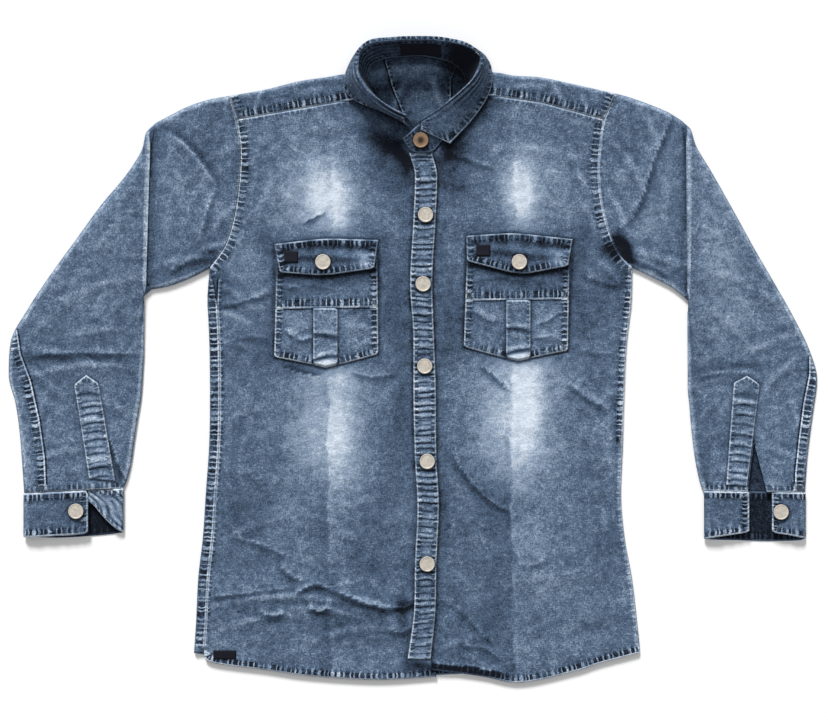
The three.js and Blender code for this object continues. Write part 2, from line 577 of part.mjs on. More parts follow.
// The leaf turns over above the roll line and falls outward to its free edge.
function collarFall() {
  const rows = COLLAR.filter((row) => row.leaf);
  return rows.map((row, i) => {
    const ahead = rows[Math.min(rows.length - 1, i + 1)].roll;
    const behind = rows[Math.max(0, i - 1)].roll;
    const seam = point(...row.seam);
    const roll = point(...row.roll);
    const leaf = point(...row.leaf);
    const up = roll.clone().sub(seam).normalize();
    const away = point(behind[1] - ahead[1], ahead[0] - behind[0], 0);
    away.normalize().addScaledVector(up, -away.dot(up)).normalize();
    const start = roll.clone().addScaledVector(up, WALL / 2 + LEAF_GAP);
    const turn = start.clone().addScaledVector(up, LEAF_GAP).addScaledVector(away, LEAF_TURN / 2);
    const drop = start.clone().addScaledVector(away, LEAF_TURN).add(point(0, 0, -LEAF_GAP));
    const path = [start, turn, drop];
    for (const t of LEAF_ROWS) {
      const p = drop.clone().lerp(leaf, t);
      path.push(p.addScaledVector(away, LEAF_BOW * Math.sin(Math.PI * t)));
    }
    return path;
  });
}

function button() {
  const { radius, height } = BUTTON_SHANK;
  const profile = [[0, 0], [radius, 0], [radius, height], ...BUTTON_PROFILE];
  const geometry = new THREE.LatheGeometry(profile.map(([x, y]) => new THREE.Vector2(x, y)), BUTTON_SIDES);
  return geometry.rotateX(Math.PI / 2);
}

// The height of a grid's surface under or over a place.
function heightOn(grids, x, y) {
  let best = -Infinity;
  for (const grid of grids) {
    for (let i = 0; i < grid.length - 1; i += 1) {
      for (let j = 0; j < grid[i].length - 1; j += 1) {
        const quad = [grid[i][j], grid[i][j + 1], grid[i + 1][j + 1], grid[i + 1][j]];
        for (const [a, b, c] of [[quad[0], quad[1], quad[2]], [quad[0], quad[2], quad[3]]]) {
          const area = (b.x - a.x) * (c.y - a.y) - (c.x - a.x) * (b.y - a.y);
          if (Math.abs(area) < 1e-6) continue;
          const s = ((b.x - x) * (c.y - y) - (c.x - x) * (b.y - y)) / area;
          const t = ((c.x - x) * (a.y - y) - (a.x - x) * (c.y - y)) / area;
          if (s < 0 || t < 0 || s + t > 1) continue;
          best = Math.max(best, s * a.z + t * b.z + (1 - s - t) * c.z);
        }
      }
    }
  }
  return best;
}

// Lays rows of flat places on grids, so many layers up.
function lay(rows, grids, layers = () => 1) {
  return rows.map((row) => row.map(([x, y]) => point(x, y, heightOn(grids, x, y) + ONTO * layers(x, y))));
}

// Rows of flat places between two edges, each given at t from 0 to 1.
function between(left, right, rows, columns) {
  return rows.map((v) => columns.map((u) => [0, 1].map((k) => mix(left(v)[k], right(v)[k], u))));
}

const steps = (count) => Array.from({ length: count + 1 }, (_, k) => k / count);

function pocketPieces(side, panel) {
  const p = POCKETS[side];
  const width = p.side[1][0] - p.side[0][0];
  const middle = (p.point[0] - p.side[0][0]) / width;
  const drop = (u) => {
    const low = mix(p.side[0][1], p.side[1][1], u);
    const toPoint = u < middle ? u / middle : (1 - u) / (1 - middle);
    return mix(low, p.point[1], toPoint);
  };
  const columns = [0, middle / 3, middle * 0.7, middle, 0.65, 0.82, 1];
  const body = steps(6).map((v) => columns.map((u) => [
    mix(mix(p.top[0][0], p.top[1][0], u), mix(p.side[0][0], p.side[1][0], u), v),
    mix(mix(p.top[0][1], p.top[1][1], u), drop(u), v)]));
  const bodyGrid = lay(body, [panel]);
  const flap = FLAP_ROWS.map((v) => steps(8).map((u) => [0, 1].map(
    (k) => mix(bent(p.flapTop, u)[k], bent(p.flapEdge, u)[k], v))));
  const flapGrid = lay(flap, [panel], (x, y) => 1 + FLAP_LIFT * ease((p.flapTop[0][1] - y) / FLAP_EASE));
  const stripX = [p.point[0] - STRIP_W / 2, p.point[0], p.point[0] + STRIP_W / 2];
  const strip = steps(4).map((v) => stripX.map((x) => [x,
    mix(p.band, drop((x - p.side[0][0]) / width) + 1, v)]));
  const [px, py] = p.patch;
  const patchRows = [PATCH[1] / 2, -PATCH[1] / 2].map((dy) => [-PATCH[0] / 2, PATCH[0] / 2].map(
    (dx) => [px + dx, py + dy]));
  add(`pocket_${side}`, wall(bodyGrid), CLOTH);
  add(`pocket_strip_${side}`, wall(lay(strip, [bodyGrid])), DARK_CLOTH);
  add(`pocket_flap_${side}`, wall(flapGrid), DARK_CLOTH);
  add(`pocket_patch_${side}`, wall(lay(patchRows, [flapGrid])), PATCH_CLOTH);
  addButton(`button_pocket_${side}`, p.button, [flapGrid], METAL);
}

// A place along three points joined by straight lines.
function bent(points, u) {
  const at = u * 2;
  const i = Math.min(1, Math.floor(at));
  return [0, 1].map((k) => mix(points[i][k], points[i + 1][k], at - i));
}

function addButton(name, [x, y], grids, look) {
  const around = [[0, 0], [BUTTON_SEAT, 0], [-BUTTON_SEAT, 0], [0, BUTTON_SEAT], [0, -BUTTON_SEAT]];
  const z = Math.max(...around.map(([dx, dy]) => heightOn(grids, x + dx, y + dy)));
  add(name, button(), look).position.set(x, y, z + WALL / 2 + GAP);
}

function sleevePlacket(side, sleeveGrid) {
  const p = SLEEVE_PLACKETS[side];
  const [left, right] = p.far[0] < p.near[0] ? ['far', 'near'] : ['near', 'far'];
  const edge = (key) => (v) => [0, 1].map((k) => mix(p[key][k], p[`${key}End`][k], v));
  const rows = between(edge(left), edge(right), steps(PLACKET_ROWS), steps(PLACKET_COLUMNS));
  rows[0] = rows[0].map((_, k) => bent([p[left], p.tip, p[right]], k / PLACKET_COLUMNS));
  return lay(rows, [sleeveGrid.map((ring) => ring.slice(1, ARMHOLE.length + 1))], () => PLACKET_LIFT);
}

// Body panels.
const panels = { right: front('right'), left: front('left') };
add('back', wall(back()), CLOTH);
add('yoke', wall(yoke()), CLOTH);
add('front_right', wall(panels.right), CLOTH);
add('front_left', wall(panels.left), CLOTH);

// Button stand, on the right front.
const standRows = steps(STAND_STEPS).map((t) => {
  const y = mix(PLACKET[0].y, PLACKET[PLACKET.length - 1].y, t);
  const [outer, inner] = ['outer', 'inner'].map((key) => tableAt(PLACKET, key, y));
  return [outer, mix(outer, inner, 0.5), inner - 2 * GAP].map((x) => [x, y]);
});
const placket = lay(standRows, [panels.right]);
add('placket', wall(placket), DARK_CLOTH);

// Collar.
const stand = collarStand();
add('collar_stand', wall(stand), CLOTH);
add('collar_fall', wall(collarFall()), CLOTH);

// Sleeves, with a slit cut in the left one.
const sleeves = { right: sleeve('right'), left: sleeve('left') };
function solid(geometry) {
  const vertProperties = Float32Array.from(geometry.attributes.position.array);
  const triVerts = Uint32Array.from(geometry.index.array);
  return new wasm.Manifold(new wasm.Mesh({ numProp: 3, vertProperties, triVerts }));
}
function slit() {
  const outline = new THREE.Shape(SLIT.map(([x, y]) => new THREE.Vector2(x, y)));
  const prism = new THREE.ExtrudeGeometry(outline, { depth: SLIT_DEPTH, bevelEnabled: false });
  prism.deleteAttribute('normal');
  prism.deleteAttribute('uv');
  return mergeVertices(prism.translate(0, 0, MID));
}
const slitSleeve = solid(wall(sleeves.left, true)).subtract(solid(slit())).getMesh();
add('sleeve_right', wall(sleeves.right, true), CLOTH);
add('sleeve_left', closed(Array.from(slitSleeve.vertProperties), Array.from(slitSleeve.triVerts)), CLOTH);
for (const side of ['right', 'left']) {
  add(`sleeve_placket_${side}`, wall(sleevePlacket(side, sleeves[side])), DARK_CLOTH);
}

// Cuffs.
const cuffs = { right: cuff(CUFF_RIGHT, SLEEVE_RIGHT), left: cuff(CUFF_LEFT, SLEEVE_LEFT) };
for (const side of ['right', 'left']) {
  add(`cuff_${side}`, wall(cuffs[side]), DARK_CLOTH);
  addButton(`button_cuff_${side}`, BUTTONS.cuffs[side], [cuffs[side]], METAL);
}

// Pockets with their flaps, strips and patches.
for (const side of ['right', 'left']) pocketPieces(side, panels[side]);

// Buttons of the neck and the front.
addButton('button_neck', BUTTONS.neck, [stand], BRONZE);
BUTTONS.front.forEach((place, k) => addButton(`button_front_${k + 1}`, place, [placket], METAL));

// Plain labels: one on the stand's inner face at the back, one at the hem.
function neckLabel() {
  const back = stand.slice(...NECK_LABEL_ROWS);
  return [NECK_LABEL.low, NECK_LABEL.high].map((t) => back.map((row) => {
    const [seam, , roll] = row;
    const inward = point(0, seam.z - roll.z, roll.y - seam.y).normalize();
    const p = seam.clone().lerp(roll, t);
    p.x = mix(NECK_LABEL.x, p.x, NECK_LABEL.width / (back[2][0].x - back[0][0].x));
    return p.addScaledVector(inward, NECK_LABEL.lift);
  }));
}
const { x: hemX, y: hemY, width: hemW, height: hemH } = HEM_LABEL;
const hemRows = [hemH / 2, -hemH / 2].map((dy) => [-hemW / 2, hemW / 2].map((dx) => [hemX + dx, hemY + dy]));
add('label_neck', wall(neckLabel()), PATCH_CLOTH);
add('label_hem', wall(lay(hemRows, [panels.right])), PATCH_CLOTH);

export default shirt;
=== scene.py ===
# The denim shirt's looks. Tables are in millimetres, in the frame of the
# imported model: X from cuff to cuff, Y towards the collar, Z up from the floor.
import math

import bpy
import numpy as np
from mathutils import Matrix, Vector
from mathutils.bvhtree import BVHTree


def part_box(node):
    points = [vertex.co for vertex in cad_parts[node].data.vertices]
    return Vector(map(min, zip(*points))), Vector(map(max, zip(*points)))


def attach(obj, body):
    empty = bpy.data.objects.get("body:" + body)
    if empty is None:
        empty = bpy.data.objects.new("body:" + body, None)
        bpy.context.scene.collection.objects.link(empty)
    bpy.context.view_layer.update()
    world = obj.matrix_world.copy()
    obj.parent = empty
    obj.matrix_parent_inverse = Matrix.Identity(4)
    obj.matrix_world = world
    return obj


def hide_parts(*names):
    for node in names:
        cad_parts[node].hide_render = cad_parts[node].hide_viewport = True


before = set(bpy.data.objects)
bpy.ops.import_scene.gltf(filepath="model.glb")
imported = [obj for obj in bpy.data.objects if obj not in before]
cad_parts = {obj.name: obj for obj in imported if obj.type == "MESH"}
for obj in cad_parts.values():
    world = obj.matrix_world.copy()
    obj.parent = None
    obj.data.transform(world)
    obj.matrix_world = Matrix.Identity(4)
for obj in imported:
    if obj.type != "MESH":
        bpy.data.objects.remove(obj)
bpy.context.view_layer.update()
bpy.ops.object.select_all(action="DESELECT")

MM = 0.001
PIXEL_MM = 1.23                    # of the photograph, at the cloth
IMAGE = (828, 720)
IMAGE_MIDDLE = (1.8, 1.5)          # the place under the middle of the image

WALL = 1.2
GAP = 0.3
FOLD_R = 1.9
LOW = WALL / 2
TOP = LOW + 2 * FOLD_R
MID = LOW + FOLD_R
ONTO = WALL + GAP
SIDE_LAP = 10
LAP_FADE = 40
UNDER_FRONT = 6
STAND_FADE = 30
FINE = 2.6                         # spacing of the cloth's points
OUT = {"right": -1, "left": 1}     # the way from the middle to each side of the wearer

# Armhole seams: x on the wearer's right and left sides, and the height.
ARMHOLE = {
    "right": [(-225, 326), (-217, 297), (-212, 266), (-212, 235), (-215, 204), (-220, 174),
              (-229, 145), (-240, 127), (-249, 115)],
    "left": [(249, 329), (236, 297), (231, 266), (229, 235), (231, 204), (237, 174),
             (247, 145), (258, 127), (270, 115)],
}
SIDE_Y = [115, 75, 31, -43, -102, -161, -220, -264, -323, -395]
SIDE = {
    "right": [-249, -252, -250, -249, -250, -254, -258, -263, -266, -271],
    "left": [270, 269, 264, 260, 258, 256, 261, 269, 276, 283],
}
PLACKET_Y = [256, 227, 174, 95, 29, -23, -120, -178, -249, -304, -366]
PLACKET = {
    "outer": [-4, 3, 1, -3, 1, 1, 3, 6, 3, 2, -6],
    "inner": [24.5, 31, 29, 25, 27, 29, 30, 33, 30, 29, 23],
}
HEM = {
    "right": [(-269, -361), (-245, -371), (-178, -380), (-129, -387), (-46, -392), (8, -388)],
    "left": [(281, -355), (231, -371), (200, -381), (133, -395), (84, -387), (23, -379)],
}
YOKE_SEAM = {
    "right": [(-217, 297), (-148, 309), (-50, 326)],
    "left": [(236, 297), (159, 318), (68, 331)],
}
NECKLINE = {
    "right": [(-50, 326), (-30, 311), (-8, 290), (31, 254)],
    "left": [(68, 331), (58, 308), (46, 284), (26, 254)],
}
BACK_HEM = -357
BACK_TAIL = 30
TAIL_SHARE = 4 / 27                # of the back's length, from the hem up

# Yoke from armhole to armhole: back x, top of the fold, front or neck edge,
# and 1 where it ends at the neck.
YOKE = [
    (-212, -225, 326, -217, None, 0), (-175, -180, 334, -182, None, 0),
    (-138, -140, 344, -148, None, 0), (-98, -106, 349, -98, None, 0),
    (-60, -78, 353, -50, None, 0), (-50, -66, 357, -52, 342, 0.5),
    (-42, -52, 361, -52, 359, 1), (-28, -31, 368, -31, 366, 1),
    (4, 5, 371, 4, 366, 1), (36, 40, 366, 36, 363, 1),
    (52, 62, 357, 58, 354, 1), (60, 78, 356, 62, 344, 0.5),
    (72, 98, 355, 68, None, 0), (112, 124, 351, 114, None, 0),
    (150, 156, 349, 159, None, 0), (190, 200, 340, 193, None, 0),
    (231, 249, 329, 236, None, 0),
]
YOKE_BACK_Y = 266
# Felled seams that show inside the neck: line, offset, half width, strength.
NECK_SEAMS = [
    ([(-34, 369), (-25, 338), (-12, 306)], 1.9, 1.7, 0.9),
    ([(53, 360), (47, 345), (47, 316)], -1.9, 1.7, 0.9),
]
NECK_RISE = 11
NECK_SLOPE = 46
NECK_MIDDLE = 8
SHOULDER_CREASES = [
    (-190, 322, 20, 4, 70, 0.8), (-120, 334, 30, 5, 10, 0.6), (180, 330, 26, 4, -60, 0.8),
    (130, 338, 30, 5, 6, 0.7), (-150, 318, 26, 4, -12, 0.5), (214, 312, 22, 4, -70, 0.7),
]
NECK_CREASES = [(-20, 322, 20, 5, 70, 1.3), (30, 330, 24, 6, 110, 1.4), (6, 300, 30, 7, 20, 1.0)]

# Collar rows: seam on the neckline, roll line and free edge of the leaf.
COLLAR = [
    ((18, 268, 6.3), (16, 283, 9.4), None), ((8, 275, 6.2), (4, 286, 9.6), None),
    ((0, 287, 6), (-7, 299, 21), (-8, 291, 14)), ((-12, 299, 5.9), (-22, 305, 29), (-25, 301, 9)),
    ((-31, 314, 5.9), (-45, 320, 33), (-48, 311, 8.4)), ((-48, 329, 6.4), (-59, 336, 34), (-71, 321, 8)),
    ((-56, 346, 9.8), (-66, 353, 35), (-84, 338, 7.5)), ((-51, 363, 13.2), (-65, 371, 35), (-80, 360, 5)),
    ((-33, 371, 14), (-54, 384, 36), (-64, 380, 3)), ((-14, 373, 14), (-22, 389, 38), (-26, 388, 2.4)),
    ((8, 374, 14), (8, 390, 38.5), (8, 389, 2.4)), ((30, 371, 13.8), (40, 388, 37), (42, 388, 2.4)),
    ((50, 364, 13.2), (69, 381, 32), (74, 385, 3)), ((62, 352, 13.2), (83, 368, 28), (93, 370, 5)),
    ((65, 333, 7), (74, 343, 27), (98, 346, 7.5)), ((58, 310, 6.4), (61, 329, 26), (92, 325, 8)),
    ((47, 288, 6.9), (44, 315, 22), (75, 299, 8.6)), ((36, 271, 7.6), (25, 302, 17), (46, 267, 10.4)),
    ((22, 257, 8), (7, 290, 13), (10, 284, 15)), ((8, 256, 8.2), (-3, 281, 12), None),
    ((-4, 260, 8.4), (-12, 273, 11), None),
]
LEAF_GAP = 1.1
LEAF_TURN = 3.9

# Sleeve rows: outer edge, inner edge, rise of the upper layer.
SLEEVE = {
    "right": [
        ((-250, 321.5), (-261, 109), 0), ((-276, 313), (-280, 100), 0.3), ((-300, 301), (-303, 92), 0.2),
        ((-321, 288), (-327, 84), "fold"), ((-334, 257), (-331, 60), 3.2), ((-352, 229), (-331, 44), 3.2),
        ((-382, 193), (-331, 27), 3), ((-414, 149), (-331, 10), 1.4), ((-446, 105), (-332, -7), 0.6),
        ((-473, 64), (-333, -26), 0.2), ((-494, 24), (-335, -48), 0), ((-496.5, -17), (-339, -72), 0.3),
        ((-488.5, -50), (-343, -99), 0.8), ((-483, -88), (-347, -127), 2), ((-480, -126), (-352, -146), 3.2),
        ((-477.5, -162), (-356, -156), 4)],
    "left": [
        ((266, 324.5), (282, 110), 0), ((290, 316), (300, 101), 0.3), ((314, 306), (319, 91), 0.2),
        ((336, 291), (338, 76), "fold"), ((349, 264), (339, 56), 3.2), ((368, 232), (339, 41), 3.2),
        ((394, 186), (339, 25), 3), ((421, 137), (339, 8), 1.4), ((446, 94), (339, -11), 0.6),
        ((468, 55), (339, -32), 0.2), ((489, 11), (341, -55), 0), ((497.5, -22), (343, -80), 0.3),
        ((494, -52), (346, -107), 0.8), ((489, -88), (350, -132), 2), ((485, -124), (354, -149), 3.2),
        ((482.5, -161), (357.5, -159), 4)],
}
FOLD_UNDER = [0, 1, 5, 10, 14, 17, 12, 3, 0]
FOLD_OPEN = [0, 1, 1, 1, 1, 1, 1, 1, 0]
FOLD_STEP = 1.4
FOLD_FALL = 0.9
BOW_RINGS = 4
RISE_SPREAD = 2.2
LAYER = 1.6
FOLD_PATH = [(0, -4, 0), (1, 0, 0), (1, 0.8, 0.5), (1, 0, 1), (0, 0.8, 1), (0, 0, 1.5), (0, 0.8, 2), (0, 6, 2)]

# Cuff rows: x, lower edge and height, from the under end to the upper end.
CUFF = {
    "right": [(-412, -166, 6.6), (-395, -174, 6.6), (-376, -195, 6.8), (-362, -207, 6.2), (-356, -210, 3.8),
              (-361, -211, LOW), (-400, -215, LOW), (-440, -217, LOW), (-473, -216, LOW), (-478, -216, 4.5),
              (-473, -216, 8.4), (-440, -214, 8.6), (-418, -213, 8.5), (-399, -211, 8.3)],
    "left": [(442, -210, 8), (462, -213, 8.4), (477, -216, 8.2), (483, -217, 4.4), (478, -220, LOW),
             (440, -221, LOW), (400, -220, LOW), (366, -219, LOW), (359, -218, 4.5), (364, -217, 8.2),
             (390, -213, 8.5), (413, -209.5, 8.2)],
}
POCKET = {
    "right": dict(flap_top=[(-170, 144), (-109, 151), (-42, 149)], flap_edge=[(-163, 109), (-109, 105), (-47, 114)],
                  top=[(-167, 126), (-43, 130)], side=[(-170, 5), (-42, 9)], point=(-107, -8),
                  band=65, patch=(-149, 128), button=(-110, 122)),
    "left": dict(flap_top=[(66, 154), (124, 158), (197, 150)], flap_edge=[(67, 123), (132, 106), (191, 117)],
                 top=[(67, 132), (193, 132)], side=[(63, 18), (191, 13)], point=(130, 0),
                 band=75, patch=(87, 136), button=(131, 122)),
}
STRIP_W = 30
PATCH = (17, 14)
SLEEVE_PLACKET = {
    "right": dict(tip=(-402, -17), far=(-416, -29), near=(-386, -27), far_end=(-397, -144), near_end=(-365, -147)),
    "left": dict(tip=(415, -18), far=(427, -29), near=(395, -26), far_end=(410.5, -153), near_end=(385, -152)),
}
SLIT = [(419.5, -98), (409.5, -175), (439, -175)]
BUTTON_R = 9.3
BUTTON_H = 2.7
BUTTON_SHANK = 1.0
SHANK_R = 3.7
CAP_ROUND = 0.45
CAP_STEPS = ((1.3, 0.0), (0.3, -0.28), (1.6, 0.0), (3.2, 0.18))    # rings of the cap: width and rise
BUTTONS = {
    "button_neck": (10, 271), "button_front_1": (16, 180), "button_front_2": (13, 95),
    "button_front_3": (15, -6), "button_front_4": (18, -123), "button_front_5": (18, -249),
    "button_cuff_right": (-413, -184), "button_cuff_left": (452, -185),
    "button_pocket_right": (-110, 122), "button_pocket_left": (131, 122),
}
HEM_LABEL = (-231, -361)
HEM_LABEL_SIZE = (28, 11)
NECK_LABEL_ENDS = (-14.5, 34.5)

# Creases pressed and worn into the cloth: middle, half length, half width,
# turn in degrees and rise, on the fronts.
SWELLS = [
    (-178, -287, 90, 26, 4, 1.6), (-60, -300, 70, 24, -12, 1.4), (-215, -150, 70, 24, 70, 1.3),
    (-150, 215, 60, 26, 35, 1.3), (160, 220, 60, 26, -35, 1.3), (230, -80, 80, 26, -60, 1.5),
    (150, -250, 90, 28, 12, 1.6), (215, 60, 50, 24, 50, 1.2),
]
CREASES = [
    (-175, -288, 62, 6, 3, 1.6), (-112, -304, 40, 5, -6, 1.3), (-176, -313, 46, 6, 8, 1.2),
    (-52, -296, 34, 6, -14, 1.5), (-12, -312, 9, 22, 2, -1.6), (-80, -330, 46, 6, 10, 1.1),
    (-232, 92, 34, 5, -28, 1.1), (-226, 58, 36, 5, -18, 0.8), (-218, 22, 30, 5, -10, 0.6),
    (-212, 148, 26, 6, 50, 1.0), (-205, 170, 30, 5, 62, 0.7), (-188, 190, 34, 6, 70, 0.5),
    (-200, -60, 40, 6, 15, 0.5), (-225, -100, 32, 5, 22, 0.5), (-180, -140, 44, 7, -12, 0.5),
    (-120, -190, 50, 7, -20, 0.5), (-205, -205, 44, 6, 24, 0.6), (-60, -170, 34, 6, 12, 0.4),
    (-40, 60, 22, 5, 80, 0.5), (-120, 245, 40, 7, 14, 0.5), (-190, 262, 26, 6, 60, 0.6),
    (150, 262, 44, 6, -8, 0.5), (205, 232, 34, 5, -70, 0.7), (214, 190, 30, 5, -64, 0.6),
    (236, 118, 26, 5, -38, 0.8), (224, -44, 40, 5, -30, 0.7), (92, -150, 44, 12, -52, 0.8),
    (80, -205, 50, 12, -50, 0.6), (170, -262, 60, 8, 4, 0.4), (236, -200, 34, 6, -84, 0.4),
    (70, -340, 36, 6, 12, 0.8), (52, -60, 22, 5, 60, 0.4), (210, -320, 46, 8, 16, 0.5),
]
PRESS_LINES = [(-101, 0.14), (124, 0.16)]           # upright pressed edges: x, rise
PRESS_WIDE = 4.0
# How far a soft fold's edge reaches back, in front, and with its shade, and
# the share of its length that it goes on past its ends.
FOLD_BACK, FOLD_FRONT, FOLD_DARK = 11, 1.9, 3.0
FOLD_END = 0.08
# Soft folds of the fronts: a line whose left side laps over its right, the
# rise and the shade.
FRONT_FOLDS = {
    "right": [
        ([(-250, -290), (-210, -286), (-179, -282), (-150, -279)], 1.3, 0.6),
        ([(-145, -287), (-131, -279), (-116, -275), (-99, -282)], 1.6, 1.0),
        ([(-97, -282), (-77, -291), (-52, -300), (-30, -303), (-10, -303), (2, -296)], 2.0, 1.1),
        ([(-129, -302), (-115, -308), (-100, -303)], 1.3, 1.1),
        ([(-190, -308), (-174, -314), (-158, -310)], 1.1, 0.9),
        ([(-222, -216), (-184, -227), (-152, -241)], 0.9, 0.5),
        ([(-164, -252), (-146, -266), (-134, -270)], 1.0, 0.8),
        ([(-250, 66), (-212, 72), (-176, 84)], 1.2, 0.6), ([(-232, 22), (-200, 30), (-176, 26)], 0.7, 0.35),
        ([(-30, -330), (-16, -334), (4, -326)], 1.0, 0.7), ([(-134, 169), (-120, 176), (-107, 182)], 0.5, 0.9),
        ([(-112, -18), (-138, -13), (-163, -6)], 0.5, 1.1), ([(-76, -14), (-52, -20), (-20, -16)], 0.8, 0.6),
    ],
    "left": [
        ([(40, 262), (62, 250), (98, 238)], 0.9, 0.5), ([(36, 222), (60, 216), (92, 222)], 0.5, 0.3),
        ([(212, 104), (236, 96), (256, 94)], 0.8, 0.5), ([(83, -5), (100, -19), (121, -38)], 1.0, 0.9),
        ([(191, -26), (214, -46), (240, -60)], 0.9, 0.6),
        ([(46, -114), (66, -142), (90, -168), (123, -188)], 0.8, 0.75),
        ([(36, -296), (60, -308), (84, -334), (104, -352)], 0.5, 0.45),
        ([(128, -248), (144, -251), (164, -246)], 0.6, 0.4),
        ([(16, -371.5), (58, -375), (84, -378.5), (114, -385)], 1.2, 1.6),
        ([(60, -350), (88, -353), (108, -368)], 0.7, 0.6), ([(206, 14), (232, 8), (252, 12)], 0.5, 0.3),
    ],
}
# Worn pale places on the fronts: middle, half sizes, turn and strength.
FADES = [
    (-105, 204, 27, 40, 0, 0.86), (-116, 206, 60, 60, 0, 0.42), (-92, 174, 17, 20, 0, 0.35),
    (133, 203, 19, 42, 0, 0.84), (142, 212, 50, 56, 0, 0.34), (122, 214, 12, 34, 0, 0.22),
    (-88, -68, 25, 62, 0, 0.52), (-118, -84, 42, 62, 0, 0.6), (-98, -18, 42, 16, 0, 0.42),
    (-88, -130, 34, 40, 0, 0.25), (139, -62, 24, 74, -2, 0.84), (104, -74, 26, 72, 0, 0.5),
    (142, -60, 58, 92, 0, 0.26), (124, -6, 34, 20, 0, 0.36), (-150, -250, 60, 50, 0, 0.08),
    (160, -240, 60, 60, 0, 0.08), (-208, 70, 28, 80, 0, 0.13), (-60, -26, 40, 30, 0, 0.12),
    (-150, 120, 60, 160, 0, 0.05), (190, 120, 40, 160, 0, 0.05),
]
# Painted shade on the fronts, given as the fades: by the button stand, at the hem
# below it, by the collar leaf, under the arms and in the hollows of folds.
PAINTED_SHADE = [
    (-14, -60, 10, 40, 0, 0.3), (38, -200, 8, 60, 0, 0.3), (6, -373, 16, 4.5, 0, 1.5),
    (60, -381, 50, 4.5, -9, 1.4), (246, 138, 12, 9, -20, 2.0), (96, -170, 34, 16, -50, 0.3),
    (100, -290, 20, 60, 0, 0.3), (-236, 96, 22, 14, -40, 0.4), (246, 96, 22, 14, 40, 0.45),
    (-30, 236, 18, 40, 20, 0.5), (48, 236, 16, 26, -20, 0.55), (-200, 20, 30, 34, 0, 0.25),
    (216, 60, 18, 40, 0, 0.25), (-34, 268, 30, 11, -36, 1.3), (46, 256, 22, 9, 36, 0.9),
    (-8, 240, 7, 22, 0, 0.9), (-16, 262, 7, 18, 20, 1.0), (-8, -300, 14, 6, 12, 1.2),
    (-20, 60, 12, 60, 0, 0.3), (44, 60, 12, 50, 0, 0.3), (-225, -180, 30, 50, 10, 0.2),
    (-40, -220, 26, 50, 0, 0.15), (-186, 150, 14, 30, 30, 0.3), (208, 140, 12, 34, -10, 0.3),
    (-60, -330, 70, 24, 0, 0.2), (240, -250, 22, 70, 0, 0.2),
]
# Creases of the sleeves, and the seam down each.
SLEEVE_CREASES = {
    "right": [
        (-236, 176, 40, 5, 48, 1.2), (-262, 240, 46, 6, 40, 1.1), (-290, 268, 36, 6, 52, 1.0),
        (-250, 140, 32, 5, 20, 1.2), (-290, 125, 40, 6, 12, 1.0), (-270, 200, 44, 6, 60, 0.8),
        (-300, 190, 34, 6, 80, 0.8), (-400, 90, 60, 7, 20, 1.0), (-380, 40, 50, 6, 4, 1.1),
        (-430, 10, 50, 6, -14, 1.4), (-400, -4, 60, 5, 3, 1.3), (-450, -24, 34, 6, -40, 1.2),
        (-370, -50, 34, 6, -30, 1.0), (-440, 60, 46, 7, 40, 0.9), (-360, 110, 24, 6, 84, 0.8),
        (-360, 190, 26, 6, 70, 0.9), (-430, -110, 30, 5, 12, 0.9), (-460, -70, 24, 5, 80, 0.9),
        (-380, 150, 40, 7, 50, 0.7), (-375, -100, 18, 6, 76, 0.8),
    ],
    "left": [
        (252, 190, 40, 5, -62, 1.2), (270, 240, 50, 6, -58, 1.3), (292, 290, 40, 6, -64, 1.1),
        (262, 150, 34, 5, -34, 1.3), (300, 130, 40, 6, -16, 1.1), (310, 215, 36, 6, -80, 0.8),
        (400, 100, 60, 7, -24, 1.0), (385, 50, 50, 6, -40, 1.1), (430, 20, 50, 6, 24, 1.2),
        (450, -14, 40, 6, 44, 1.3), (380, -20, 34, 6, 14, 1.1), (362, -60, 22, 6, 60, 0.9),
        (470, -60, 24, 5, -80, 1.0), (455, -110, 26, 5, -20, 0.9), (368, 180, 26, 6, -66, 0.9),
        (360, 120, 26, 6, -84, 0.8), (440, 80, 46, 7, -52, 0.9), (372, -110, 18, 6, 100, 0.8),
    ],
}
SLEEVE_SEAM = {
    "right": [(-487, 41), (-482, 8), (-470, -23), (-459, -71), (-452, -118), (-450, -160)],
    "left": [(488, 5), (488, -17), (481, -51), (475, -94), (470, -138), (470, -157)],
}
# Fold edges of the sleeves: line, rise and shade.
SLEEVE_FOLDS = {
    "right": [
        ([(-244, 223), (-268, 256), (-297, 284)], 1.6, 0.7), ([(-262, 150), (-250, 190), (-240, 216)], 1.1, 0.4),
        ([(-470, 7), (-402, 10), (-336, 8)], 1.0, 0.6), ([(-374, -90), (-366, -118), (-353, -146)], 1.2, 1.1),
        ([(-300, 110), (-272, 124), (-246, 128)], 1.0, 0.5),
    ],
    "left": [
        ([(256, 166), (272, 178), (284, 204), (298, 248), (321, 304)], 0.8, 0.9),
        ([(246, 156), (262, 172), (279, 196)], 0.5, 0.4),
        ([(352, -20), (386, -14), (420, -16)], 1.0, 0.5), ([(266, 128), (292, 118), (316, 104)], 1.0, 0.4),
    ],
}
# Pale worn places of the sleeves, and their painted shade, as those of the fronts.
SLEEVE_FADES = {
    "right": [(-410, 80, 60, 30, 40, 0.1), (-300, 180, 20, 60, 0, 0.06)],
    "left": [(372, 150, 24, 90, 14, 0.24), (296, 200, 30, 90, -10, 0.26), (400, 60, 60, 60, 0, 0.12),
             (440, -60, 40, 70, 0, 0.05)],
}
SLEEVE_PAINTED_SHADE = {
    "right": [(-246, 122, 16, 14, 30, 0.5), (-430, 8, 60, 5, 2, 0.35)],
    "left": [(257, 143, 9, 14, 30, 3.0), (266, 126, 10, 5, -30, 1.5), (390, -5, 50, 5, 4, 0.4),
             (356, -84, 12, 50, 0, 0.15)],
}
